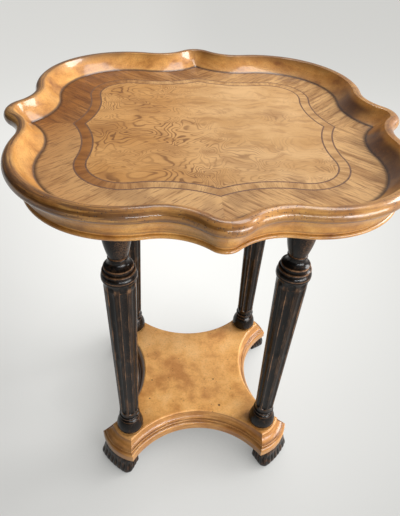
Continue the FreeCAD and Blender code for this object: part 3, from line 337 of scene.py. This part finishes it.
def burl_material():
    """Pale burl with swirled contour lines, most on the left, at the front and at the eyes."""
    paint = Paint("burl_veneer")
    x, y = paint.x, paint.y
    warp_x, warp_y = (paint.noise(x * 15.0, y * 15.0, 0.0, detail=2.5, seed=seed) - 0.5
                      for seed in (1.3, 8.1))
    wx, wy = x + warp_x * 0.070, y + warp_y * 0.060
    wave, darkness, eyes = burl_contours(paint, wx, wy)
    weight = paint.noise(x * 38.0, y * 38.0, 0.0, detail=2.0, seed=51.0) - 0.5
    lines = (wave + weight).above(0.74, 0.50)
    soft = wave.above(0.20, 1.5)
    left = paint.step(x, *BURL_LEFT)
    front = paint.step(y, *BURL_FRONT)
    patch = paint.noise(x * 13.0, y * 13.0, 0.0, detail=2.0, seed=15.0).above(0.50, 0.16)
    figure = (0.10 + 0.90 * left + 0.50 * front + 0.60 * eyes).clamped() * (0.40 + 0.60 * patch)
    cloud = paint.noise(wx * 9.0, wy * 14.0, 0.0, detail=4.0, roughness=0.6, seed=22.0)
    wisp = paint.noise(wx * 26.0, wy * 60.0, 0.0, detail=3.0, roughness=0.6, seed=27.0)
    pores = paint.noise(wx * 420.0, wy * 420.0, 0.0, detail=2.0, seed=2.0).above(0.62, 0.12)
    colour = paint.blend(cloud.above(0.49, 0.30), BURL_WARM, BURL_PALE)
    colour = paint.blend(wisp.below(0.44, 0.16) * 0.35, colour, BURL_DEEP)
    colour = paint.blend((figure * (0.06 + soft * 0.28)).clamped(), colour, BURL_DEEP)
    colour = paint.blend((lines * figure * 0.72).clamped(), colour, BURL_LINE)
    colour = paint.blend((darkness * (0.30 + cloud * 0.9)).clamped(), colour, BURL_DEEP)
    colour = paint.blend(pores * 0.12, colour, BURL_LINE)
    colour = paint.blend(left * 0.75, colour, AGED, kind="MULTIPLY")
    return paint.finish(colour, 0.38 + 0.12 * cloud, height=lines * figure * -0.3 - pores * 0.3,
                        relief=VENEER_RELIEF, **VENEER_GLOSS)


def border_material(corner):
    """Straight veneer whose grain runs out to the corner, each leaf of its own tone."""
    paint = Paint("border_veneer_" + corner)
    along, across = corner_axes(paint, corner)
    inset, _, _ = tray_place(paint)
    seed = 10.0 * CORNERS.index(corner)
    sway = paint.noise(along * 9.0, across * 12.0, 0.0, detail=2.0, seed=seed) * 0.012
    lane = across + sway
    bands = paint.noise(along * 5.0, lane * 34.0, 0.0, detail=3.0, seed=seed + 3.0)
    streaks = paint.noise(along * 16.0, lane * 170.0, 0.0, detail=3.0, roughness=0.6,
                          seed=seed + 5.0)
    pores = paint.noise(along * 55.0, lane * 620.0, 0.0, detail=1.5, roughness=0.6,
                        seed=seed + 7.0)
    mix = bands * 0.55 + streaks * 0.45 + BORDER_TONES[corner]
    colour = paint.blend(mix.above(0.47, 0.22), BORDER_DARK, BORDER_PALE)
    colour = paint.blend(streaks.below(0.41, 0.12) * 0.45, colour, BURL_LINE)
    colour = paint.blend(pores.above(0.60, 0.10) * 0.55, colour, BURL_LINE)
    knot = paint.noise(paint.x * 14.0, paint.y * 14.0, 0.0, detail=2.0, seed=seed + 31.0)
    colour = paint.blend(knot.below(0.42, 0.14) * 0.35, colour, BURL_LINE)
    # smoky towards the back left, and brown with glaze and painted shade in the corner where it
    # meets the rim
    smoky = (paint.step(paint.x - paint.y, *SMOKY_CORNER) * 0.70
             + paint.step(paint.x, *SMOKY_LEFT) * 0.40)
    colour = paint.blend(smoky.clamped(), colour, SMOKE, kind="MULTIPLY")
    # painted shade with glaze in the crease at the rim's foot
    at_rim = inset.below(FLOOR_INSET + 0.0030, 0.006)
    colour = paint.blend(at_rim * 0.80, colour, GLAZE_AND_SHADE_BROWN)
    return paint.finish(colour, 0.40 + 0.12 * pores, height=pores.above(0.6, 0.1) * -1.0,
                        relief=VENEER_RELIEF, **VENEER_GLOSS)


def band_material():
    """The band between the lines, its grain set square to them."""
    paint = Paint("cross_band")
    inset, along, _ = tray_place(paint)
    bands = paint.noise(along * 70.0, inset * 12.0, 0.0, detail=3.0, seed=5.0)
    ticks = paint.noise(along * 1100.0, inset * 60.0, 0.0, detail=2.0, seed=9.0)
    colour = paint.blend((bands * 0.8 + ticks * 0.2).above(0.49, 0.25), BORDER_DARK, BORDER_PALE)
    colour = paint.blend(ticks.above(0.56, 0.12) * 0.40, colour, BURL_LINE)
    colour = paint.blend(paint.step(paint.x, *SMOKY_BAND), colour, SMOKE, kind="MULTIPLY")
    return paint.finish(colour, 0.40 + 0.12 * ticks, height=ticks.above(0.6, 0.1) * -1.0,
                        relief=BAND_RELIEF, **VENEER_GLOSS)


def string_material():
    """The two dark inlaid lines."""
    paint = Paint("string_inlay")
    fleck = paint.even_noise(300.0)
    colour = paint.blend(fleck.above(0.5, 0.4), STRING_BROWN, STRING_PALE)
    return paint.finish(colour, 0.40 + 0.12 * fleck, coat=0.2, coat_roughness=0.25)


# ---------------------------------------------------------------------------------------------
# Honey wood: the rim and the plinth
# ---------------------------------------------------------------------------------------------
HONEY_PALE = (0.740, 0.375, 0.095)
HONEY = (0.560, 0.245, 0.048)
HONEY_DEEP = (0.270, 0.095, 0.016)
AMBER_PALE = (0.900, 0.500, 0.180)
AMBER = (0.820, 0.410, 0.120)
AMBER_DEEP = (0.560, 0.235, 0.058)
# umber glaze, also the colour of painted shade on the rim and the plinth
UMBER_AND_SHADE = (0.080, 0.027, 0.006)
WORM_BROWN = (0.030, 0.012, 0.006)

# the rim's moulding, in from the nose line and up from the tray floor
OUTSIDE_INSET = 0.0125          # nearer the nose line than this is outside
INSIDE_INSET = 0.0190           # further in than this is an inner face
NOSE_INSET, NOSE_RISE = 0.0150, 0.0060
TUCK_RISE = 0.0072              # the tuck under the nose
BEAD_INSET, BEAD_RISE = 0.0240, -0.0182
UNDERCUT_RISE = -0.0140
CREST_INSET, CREST_RISE = 0.0175, 0.0180
# where a look of the rim begins and where it is full
RIM_LEFT = (0.10, -0.16)        # x
RIM_RIGHT = (0.14, 0.25)        # x
RIM_BACK = (0.12, 0.24)         # y
RIM_FORE = (0.20, 0.06)         # y, short of the back
RIM_TIP_HALF = 0.045            # y either side of the right tip

PLINTH_EDGE = 0.0030            # the moulded edge starts this far under the plinth's top
LEG_SMOKE = 0.052               # from a leg's axis
LEFT_BAY = (-0.05, -0.09)       # x, where its painted shade begins and is full
LEFT_BAY_HALF = 0.09            # y either way
PLINTH_GROOVES = (  # (depth under the top, half height)
    (0.0055, 0.0020),
    (0.0203, 0.0014),
    (0.0262, 0.0018),
)
WORM_HOLES = (  # (x, y, radius)
    (0.0460, -0.0315, 0.0018),
    (0.0528, -0.1013, 0.0024),
    (-0.0948, -0.0289, 0.0016),
    (-0.1000, -0.0780, 0.0016),
    (0.0653, 0.1195, 0.0013),
)


def scattered(paint, cell, radius, seed, patchy):
    """Dots in patches: one to a cell of a size, of a radius in cells, fewer if more patchy."""
    dots = paint.cells(paint.x / cell, paint.y / cell, paint.z / cell, seed=seed)
    here = paint.even_noise(30.0, seed=seed + 6.0)
    return dots.below(radius, radius * 0.6) * here.above(patchy, 0.06)


def rim_umber_and_shade(paint, inset, seed):
    """Umber rubbed on in long patches, most on the back's crest, and painted shade, with more
    patches, on the right's inner faces, which face away from the window, but less at the right's
    tip."""
    patch = paint.noise(paint.x * 11.0, paint.y * 11.0, paint.z * 6.0, detail=3.0,
                        roughness=0.55, seed=seed)
    inner = inset.above(INSIDE_INSET, 0.008)
    crest = paint.step(paint.y, *RIM_BACK) * (1.0 - inner)
    off_tip = 1.0 - paint.y.near(0.0, RIM_TIP_HALF)
    # painted shade: the right's inner faces, away from the window, darker except at the tip
    shaded = (paint.step(paint.x, *RIM_RIGHT) * inner
              * paint.step(paint.y, *RIM_FORE) * off_tip)
    rubbed = patch.above(0.50, 0.20) * (0.14 + crest * 0.40 + shaded * 0.3)
    return ((rubbed + shaded * 0.62 + crest * 0.30) * 0.9).clamped()


def rim_glaze_and_shade(paint, inset, rise, along, seed):
    """Dark glaze on the nose, in the tuck under it, over the bead and, on the left, above it;
    partly painted shade, in the tuck, over the bead and on the left, away from the window.
    """
    left = paint.step(paint.x, *RIM_LEFT)
    brushed = paint.noise(along * 16.0, inset * 240.0, rise * 240.0, detail=3.0, roughness=0.6,
                          seed=seed)
    broken = brushed.above(0.49, 0.20)
    # glaze with painted shade: more on the left, away from the window, in the tuck and over the
    # bead
    nose = inset.below(NOSE_INSET, 0.0090) * rise.above(NOSE_RISE, 0.004) * (0.55 + 0.45 * left)
    tuck = rise.near(TUCK_RISE, 0.0036) * inset.below(OUTSIDE_INSET, 0.006)
    underside = inset.below(BEAD_INSET, 0.004)
    line = rise.near(BEAD_RISE, 0.0022) * underside
    low = rise.near(UNDERCUT_RISE, 0.0060) * underside * left * broken
    return (nose * (0.36 + 0.52 * broken) + tuck * 0.75 + line * 0.85 + low * 0.6).clamped()


def rim_corners(inset, rise, from_mitre):
    """Glaze and painted shade where the rim meets the tray floor, and a little at the mitres'
    inner faces.
    """
    over_floor = rise.above(-0.001, 0.001)
    # painted shade with glaze at the rim's foot, in the crease with the floor
    foot = inset.above(FLOOR_INSET - 0.0022, 0.0030) * over_floor
    cusp = from_mitre.below(0.008, 0.016) * inset.above(0.016, 0.014) * over_floor
    return (foot * 0.85 + cusp * 0.10).clamped()


def rim_material(corner):
    """Mottled honey wood under umber, dark glaze and fine specks, with painted shade in places
    and a painted highlight on the crest.
    """
    paint = Paint("rim_" + corner)
    across, along = corner_axes(paint, corner)
    inset, _, from_mitre = tray_place(paint)
    rise = paint.z - FLOOR_Z
    seed = 5.0 + 7.0 * CORNERS.index(corner)
    streaks, pores = wood_grain(paint, along, across, rise, seed=seed, fine=330.0, coarse=55.0)
    mottle = paint.even_noise(20.0, detail=5.0, roughness=0.62, seed=seed)
    stipple = paint.even_noise(420.0, detail=2.0, seed=seed + 1.0)
    tone = streaks * 0.35 + mottle * 0.65
    colour = paint.colours(tone, (0.36, HONEY_DEEP), (0.48, HONEY), (0.62, HONEY_PALE))
    colour = paint.blend(stipple.above(0.56, 0.16) * 0.22, colour, HONEY_DEEP)
    colour = paint.blend(rim_umber_and_shade(paint, inset, seed + 17.0), colour, UMBER_AND_SHADE)
    colour = paint.blend(rim_glaze_and_shade(paint, inset, rise, along, seed + 21.0), colour, UMBER_AND_SHADE)
    colour = paint.blend(rim_corners(inset, rise, from_mitre), colour, GLAZE_AND_SHADE_BROWN)
    # rubbed lighter on the crest, partly a painted highlight
    crest = inset.near(CREST_INSET, 0.0065) * rise.above(CREST_RISE, 0.006)
    colour = paint.blend(crest * 0.15, colour, HONEY_PALE)
    outside = inset.below(OUTSIDE_INSET, 0.006)
    specks = scattered(paint, cell=0.0034, radius=0.22, seed=3.0, patchy=0.47)
    specks = specks * (0.25 + 0.75 * outside)
    colour = paint.blend(specks * 0.80, colour, WORM_BROWN)
    colour = paint.blend(pores.above(0.60, 0.1) * 0.25, colour, HONEY_DEEP)
    return paint.finish(colour, 0.30 + 0.18 * mottle, height=mottle - specks * 0.5,
                        relief=0.0005, coat=0.70, coat_roughness=0.11, specular=0.35)


def plinth_material():
    """Amber wood, smoked at the legs and on the edge, with specks, worm holes and painted shade
    on the left bay's moulding.
    """
    paint = Paint("plinth_wood")
    x, y, z = paint.x, paint.y, paint.z
    cloud = paint.even_noise(17.0, detail=5.0, roughness=0.58, seed=31.0)
    fleck = paint.even_noise(260.0, detail=2.0, seed=12.0)
    grain = paint.noise(x * 30.0, y * 30.0, z * 300.0, detail=3.0, seed=44.0)
    colour = paint.colours(cloud, (0.34, AMBER_DEEP), (0.50, AMBER), (0.64, AMBER_PALE))
    colour = paint.blend(fleck.above(0.55, 0.16) * 0.16, colour, HONEY_DEEP)
    # smoke round the legs and on the moulded edge, umber in its grooves, and painted shade on the
    # left bay's moulding, which faces away from the window
    depth = PLINTH_TOP - z
    edge = depth.above(PLINTH_EDGE, 0.002)
    to_leg = length(x.math("ABSOLUTE") - LEG_X, y.math("ABSOLUTE") - LEG_X)
    smoke = to_leg.below(LEG_SMOKE, 0.050) * (0.25 + 0.6 * cloud)
    colour = paint.blend((smoke * 0.60).clamped(), colour, HONEY_DEEP)
    edge_smoke = edge * (0.38 + grain.below(0.5, 0.2) * 0.30)
    colour = paint.blend(edge_smoke.clamped(), colour, HONEY_DEEP)
    grooves = sum(depth.near(level, half) for level, half in PLINTH_GROOVES)
    # painted shade on the left bay's moulding
    left_bay = (edge * paint.step(x, *LEFT_BAY)
                * y.math("ABSOLUTE").below(LEFT_BAY_HALF, 0.04))
    colour = paint.blend((grooves * 0.45 + left_bay * 0.60).clamped(), colour, UMBER_AND_SHADE)
    # distress: specks in patches and a few worm holes
    specks = scattered(paint, cell=0.0085, radius=0.13, seed=3.0, patchy=0.58)
    colour = paint.blend(specks * 0.60, colour, WORM_BROWN)
    holes = sum(length(x - hole_x, y - hole_y).below(radius, radius * 0.8)
                for hole_x, hole_y, radius in WORM_HOLES)
    colour = paint.blend((holes * 0.9).clamped(), colour, WORM_BROWN)
    return paint.finish(colour, 0.28 + 0.20 * cloud, height=cloud - holes - specks * 0.6,
                        relief=0.0004, coat=0.40, coat_roughness=0.18, specular=0.35)


# ---------------------------------------------------------------------------------------------
# Black wood rubbed through to copper: legs and feet
# ---------------------------------------------------------------------------------------------
BLACK = (0.0045, 0.0040, 0.0036)
BLACK_BROWN = (0.0200, 0.0095, 0.0050)
COPPER = (0.520, 0.270, 0.130)
# brown of bared wood, also of painted light on the legs' side towards the window
BARE_AND_LIT_BROWN = (0.110, 0.045, 0.018)
PAINT_RELIEF = 0.00012
# heights over the plinth's top
SHAFT_FOOT, SHAFT_FOOT_RADIUS = 0.051, 0.0188
SHAFT_HEAD, SHAFT_HEAD_RADIUS = 0.400, 0.0265
FLUTES_LOW, FLUTES_HIGH = 0.056, 0.412
CUP_LOW, CUP_HIGH = 0.470, 0.530
RINGS = (  # (height, half height, share rubbed bare)
    (0.0455, 0.0013, 0.60),
    (0.0340, 0.0012, 0.35),
    (0.4250, 0.0014, 0.75),
    (0.4360, 0.0014, 0.60),
    (0.4445, 0.0014, 0.75),
    (0.4635, 0.0015, 0.75),
)
ARRIS_DEPTH, ARRIS_REACH = 0.0007, 0.0008       # under the shaft's full radius
FOOT_WORN_FROM = 0.012                          # above the floor


def flute_edges(height, radius):
    """1 on the edges between a shaft's flutes, 0 in the flutes and off the shaft."""
    taper = (SHAFT_HEAD_RADIUS - SHAFT_FOOT_RADIUS) / (SHAFT_HEAD - SHAFT_FOOT)
    depth = (height - SHAFT_FOOT) * taper + SHAFT_FOOT_RADIUS - radius
    on_shaft = height.above(FLUTES_LOW, 0.004) * height.below(FLUTES_HIGH, 0.008)
    return depth.near(ARRIS_DEPTH, ARRIS_REACH) * on_shaft


def leg_material(corner):
    """Rubbed bare on the flutes' edges and on the rings, and painted light on the right of the
    cup and of the leg, the side towards the window.
    """
    paint = Paint("leg_paint_" + corner)
    sign_x, sign_y = SIGNS[corner]
    x, y, z = paint.x, paint.y, paint.z
    seed = 3.0 * CORNERS.index(corner)
    dx, dy = x - LEG_X * sign_x, y - LEG_X * sign_y
    height = z - PLINTH_TOP
    rub = paint.noise(x * 90.0, y * 90.0, z * 26.0, detail=4.0, roughness=0.65, seed=seed)
    fine = paint.noise(x * 420.0, y * 420.0, z * 60.0, detail=2.0, seed=seed + 2.0)
    grain = paint.even_noise(520.0, detail=2.0, seed=seed + 4.0)
    bare = flute_edges(height, length(dx, dy)) * (0.20 + 0.80 * rub.above(0.50, 0.16)) * 0.75
    for level, half, share in RINGS:
        bare = bare + height.near(level, half) * (rub.above(0.49, 0.20) * 0.6 + 0.4) * share
    cup = height.above(CUP_LOW, 0.02) * height.below(CUP_HIGH, 0.02)
    # painted light: browner on the side towards the window, on the cup and all down the leg
    right = paint.step(dx - dy * 0.4, -0.006, 0.022)
    bare = bare + cup * right * (0.02 + 0.22 * grain.above(0.50, 0.2))
    bare = bare + rub.above(0.60, 0.12) * 0.10
    ground = paint.blend(grain.above(0.54, 0.2) * (0.02 + 0.16 * right), BLACK, BARE_AND_LIT_BROWN)
    colour = paint.blend(bare.clamped(), ground, paint.blend(fine, BARE_AND_LIT_BROWN, COPPER))
    return paint.finish(colour, 0.30 + 0.20 * rub, height=grain, relief=PAINT_RELIEF,
                        coat=0.45, coat_roughness=0.17, specular=0.03)


def foot_material(corner):
    """Black, with brown showing through in patches above the toe."""
    paint = Paint("foot_paint_" + corner)
    x, y, z = paint.x, paint.y, paint.z
    seed = 40.0 + 3.0 * CORNERS.index(corner)
    rub = paint.noise(x * 120.0, y * 120.0, z * 60.0, detail=4.0, roughness=0.65, seed=seed)
    fine = paint.even_noise(420.0, detail=2.0, seed=seed + 2.0)
    bare = rub.above(0.54, 0.14) * 0.45 * z.above(FOOT_WORN_FROM, 0.012)
    ground = paint.blend(fine.above(0.5, 0.3) * 0.4, BLACK, BLACK_BROWN)
    colour = paint.blend(bare.clamped(), ground, BARE_AND_LIT_BROWN)
    return paint.finish(colour, 0.32 + 0.18 * rub, height=fine, relief=PAINT_RELIEF,
                        coat=0.60, coat_roughness=0.17, specular=0.05)


# ---------------------------------------------------------------------------------------------
# Hidden pieces
# ---------------------------------------------------------------------------------------------
HIDDEN_PALE, HIDDEN_DARK = (0.46, 0.30, 0.16), (0.33, 0.20, 0.10)
BOARD_PALE, BOARD_DARK = (0.24, 0.14, 0.070), (0.16, 0.085, 0.040)
SCREW_STEEL, BOLT_STEEL = (0.56, 0.55, 0.52), (0.50, 0.50, 0.49)
NYLON_PALE, NYLON_DARK = (0.060, 0.050, 0.042), (0.030, 0.024, 0.020)
HIDDEN_RELIEF = 0.0002
SCRATCHED = 0.8                         # a scratch's share of the metal's colour


def plain_wood_material():
    paint = Paint("hidden_wood")
    streaks, pores = wood_grain(paint, paint.y, paint.x, paint.z)
    colour = paint.blend(streaks.above(0.5, 0.4), HIDDEN_DARK, HIDDEN_PALE)
    return paint.finish(colour, 0.6 + 0.2 * pores, height=pores, relief=HIDDEN_RELIEF)


def board_material():
    paint = Paint("board_core")
    fibre = paint.even_noise(500.0)
    colour = paint.blend(fibre, BOARD_DARK, BOARD_PALE)
    return paint.finish(colour, 0.65 + 0.2 * fibre, height=fibre, relief=HIDDEN_RELIEF)


def metal_material(name, colour):
    paint = Paint(name)
    scratch = paint.noise(paint.x * 400.0, paint.y * 400.0, paint.z * 1500.0)
    tint = paint.blend(scratch, colour, tuple(part * SCRATCHED for part in colour))
    return paint.finish(tint, 0.3 + 0.2 * scratch, metallic=1.0)


def nylon_material():
    paint = Paint("glide_nylon")
    scuff = paint.even_noise(300.0)
    colour = paint.blend(scuff, NYLON_DARK, NYLON_PALE)
    return paint.finish(colour, 0.45 + 0.2 * scuff)


def dress(material, *nodes):
    """Give CAD nodes a material, in place of any that they had."""
    for node in nodes:
        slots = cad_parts[node].data.materials
        slots.clear()
        slots.append(material)


def dress_all():
    dress(burl_material(), "burl_field")
    dress(band_material(), "cross_band")
    dress(string_material(), "outer_string", "inner_string")
    dress(board_material(), "top_board")
    dress(plain_wood_material(), "rim_biscuits", "cleat_left", "cleat_right")
    dress(metal_material("screw_steel", SCREW_STEEL), "cleat_screws", "foot_screws")
    dress(metal_material("bolt_steel", BOLT_STEEL), "leg_bolts")
    dress(plinth_material(), "base_plinth")
    dress(nylon_material(), *("glide_" + corner for corner in CORNERS))
    for corner in CORNERS:
        dress(border_material(corner), "border_veneer_" + corner)
        dress(rim_material(corner), "rim_" + corner)
        dress(leg_material(corner), "leg_" + corner)
        dress(foot_material(corner), "foot_" + corner)


# ---------------------------------------------------------------------------------------------
# Camera
# ---------------------------------------------------------------------------------------------
CAMERA_AZIMUTH = -6.4503     # degrees from the front, towards +X
CAMERA_HEIGHT = 39.5214      # degrees above the level
CAMERA_ROLL = 3.5379
CAMERA_DISTANCE = 0.9945
CAMERA_TARGET = Vector((0.0058, 0.0348, 0.4000))
FOCAL_PIXELS = 493.60        # in a picture of the height below
PICTURE_HEIGHT = 516.0
SENSOR = 36.0                # millimetres
CLIP_START = 0.02


def make_camera():
    azimuth, height = math.radians(CAMERA_AZIMUTH), math.radians(CAMERA_HEIGHT)
    roll = math.radians(CAMERA_ROLL)
    back = Vector((math.sin(azimuth) * math.cos(height), -math.cos(azimuth) * math.cos(height),
                   math.sin(height)))
    right = (-back).cross(Vector((0, 0, 1))).normalized()
    up = right.cross(-back)
    turned_right = right * math.cos(roll) + up * math.sin(roll)
    turned_up = up * math.cos(roll) - right * math.sin(roll)
    data = bpy.data.cameras.new("camera")
    data.sensor_fit = "VERTICAL"
    data.sensor_height = SENSOR
    data.lens = FOCAL_PIXELS * SENSOR / PICTURE_HEIGHT
    data.clip_start = CLIP_START
    camera = bpy.data.objects.new("camera", data)
    bpy.context.scene.collection.objects.link(camera)
    matrix = Matrix((turned_right, turned_up, back)).transposed().to_4x4()
    matrix.translation = CAMERA_TARGET + back * CAMERA_DISTANCE
    camera.matrix_world = matrix
    bpy.context.scene.camera = camera
    bpy.context.view_layer.update()


# ---------------------------------------------------------------------------------------------
# Room and lamps
# ---------------------------------------------------------------------------------------------
ROOM_TINT = (1.0, 0.99, 0.98, 1.0)
ROOM_BRIGHT_SIDE = (0.74, 0.22, 0.63)   # towards the window on the right, and up
ROOM_DIM, ROOM_BRIGHT = 0.03, 0.50      # strength away from that side, and towards it
ROOM_RISES = (-0.6, 1.0)                # from where to where along that direction
WALL = 0.80                             # how bright the camera sees the room behind the table

WHITE = (1.0, 1.0, 1.0)
SKY = (0.88, 0.94, 1.0)
LAMPS = (  # (name, place, what it points at, width, height, watts, colour)
    ("overhead", (0.45, 0.45, 2.20), (0.05, 0.10, 0.70), 1.40, 0.70, 18.0, WHITE),
    ("window", (2.30, 0.40, 1.75), (0.0, 0.0, 0.40), 1.15, 1.15, 60.0, WHITE),
    ("side_window", (1.60, -1.45, 0.70), (0.0, 0.0, 0.35), 1.50, 0.70, 32.0, WHITE),
    ("front_window", (0.75, -2.10, 0.88), (0.0, 0.0, 0.45), 1.80, 0.13, 20.0, SKY),
)


def make_lamp(name, place, target, width, height, power, colour):
    data = bpy.data.lights.new(name, "AREA")
    data.shape = "RECTANGLE"
    data.size, data.size_y = width, height
    data.energy = power
    data.color = colour
    lamp = bpy.data.objects.new(name, data)
    lamp.location = place
    lamp.rotation_euler = (Vector(target) - Vector(place)).to_track_quat("-Z", "Y").to_euler()
    bpy.context.scene.collection.objects.link(lamp)


def make_world():
    """A dim room, brighter towards the window and overhead, that the camera sees as a pale
    wall. The wall itself lights nothing."""
    world = bpy.data.worlds.new("studio")
    world.use_nodes = True
    bpy.context.scene.world = world
    tree = world.node_tree
    back = tree.nodes["Background"]
    back.inputs["Color"].default_value = ROOM_TINT
    place = tree.nodes.new("ShaderNodeTexCoord").outputs["Generated"]
    dot = tree.nodes.new("ShaderNodeVectorMath")
    dot.operation = "DOT_PRODUCT"
    tree.links.new(place, dot.inputs[0])
    dot.inputs[1].default_value = ROOM_BRIGHT_SIDE
    spread = tree.nodes.new("ShaderNodeMapRange")
    spread.interpolation_type = "SMOOTHSTEP"
    tree.links.new(dot.outputs["Value"], spread.inputs["Value"])
    for name, value in zip(("From Min", "From Max", "To Min", "To Max"),
                           (*ROOM_RISES, ROOM_DIM, ROOM_BRIGHT)):
        spread.inputs[name].default_value = value
    rays = tree.nodes.new("ShaderNodeLightPath")
    wall = tree.nodes.new("ShaderNodeMix")
    room_socket, wall_socket = (wall.inputs[slot] for slot in MIX_NUMBERS)
    tree.links.new(rays.outputs["Is Camera Ray"], wall.inputs[MIX_SHARE])
    tree.links.new(spread.outputs[0], room_socket)
    wall_socket.default_value = WALL
    tree.links.new(wall.outputs[MIX_NUMBER_RESULT], back.inputs["Strength"])


def light_the_scene():
    make_world()
    for lamp in LAMPS:
        make_lamp(*lamp)


# ---------------------------------------------------------------------------------------------
# Floor: a pale one, whose look is partly a glow that only camera and glossy rays see
# ---------------------------------------------------------------------------------------------
FLOOR_HALF = 6.0
FLOOR_COLOUR = (0.124, 0.124, 0.122)
FLOOR_PALE = (0.227, 0.226, 0.222)              # its colour on the left, away from the window
DUST = 0.04                                     # how much the two are mixed at random
GLOW_TINT = (1.0, 0.996, 0.960, 1.0)
POOL_GLOW, POOL_CENTRE, POOL_REACH = 0.659, (0.13, 0.18), 1.06
OUTER_GLOW = 0.589
# where a look of the floor begins and where it is full
FLOOR_LEFT = (0.47, -0.23)                      # x
FLOOR_FAR = (-0.11, 1.54)                       # y, behind the table
FLOOR_NEAR = (-0.5, -1.5)                       # y, in front of what the camera sees
FLOOR_SIDES = (1.0, 2.0)                        # x either way, beside what the camera sees
# the table's shade on that glow lies away from the window
SHADE_SIDE = (0.80, 0.20, 0.57)                 # where the floor looks for what hides the light
SHADE_REACH = 0.22
SHADE_POWER = 0.73


def floor_glow(paint):
    """A pool of light about the table, and light all round beyond it."""
    dx, dy = paint.x - POOL_CENTRE[0], paint.y - POOL_CENTRE[1]
    pool = ((dx * dx + dy * dy) / -(POOL_REACH ** 2)).math("EXPONENT")
    far = paint.step(paint.y, *FLOOR_FAR)
    near = paint.step(paint.y, *FLOOR_NEAR)
    sides = paint.step(paint.x.math("ABSOLUTE"), *FLOOR_SIDES)
    outer = far + (1.0 - far) * near.math("MAXIMUM", sides)
    return pool * POOL_GLOW + outer * OUTER_GLOW


def floor_material():
    paint = Paint("studio_floor")
    glow = floor_glow(paint)
    shade = paint.tree.nodes.new("ShaderNodeAmbientOcclusion")
    shade.inputs["Distance"].default_value = SHADE_REACH
    paint.feed(shade.inputs["Normal"], paint.vector(*SHADE_SIDE))
    open_share = Field(paint, shade.outputs["AO"]).math("POWER", SHADE_POWER)
    rays = paint.tree.nodes.new("ShaderNodeLightPath").outputs
    seen = (Field(paint, rays["Is Camera Ray"]) + Field(paint, rays["Is Glossy Ray"])).clamped()
    paint.feed(paint.shader.inputs["Emission Strength"], glow * open_share * seen)
    paint.shader.inputs["Emission Color"].default_value = GLOW_TINT
    dust = paint.noise(paint.x * 3.0, paint.y * 3.0, paint.z)
    pale = paint.step(paint.x, *FLOOR_LEFT) + (dust - 0.5) * DUST
    colour = paint.blend(pale.clamped(), FLOOR_COLOUR, FLOOR_PALE)
    return paint.finish(colour, 0.9, specular=0.0)


def make_floor():
    mesh = bpy.data.meshes.new("studio_floor")
    half = FLOOR_HALF
    mesh.from_pydata([(-half, -half, 0), (half, -half, 0), (half, half, 0), (-half, half, 0)], [],
                     [(0, 1, 2, 3)])
    floor = bpy.data.objects.new("studio_floor", mesh)
    bpy.context.scene.collection.objects.link(floor)
    mesh.materials.append(floor_material())


bpy.context.scene.view_settings.view_transform = "Standard"
light_the_scene()
make_camera()
make_floor()
dress_all()
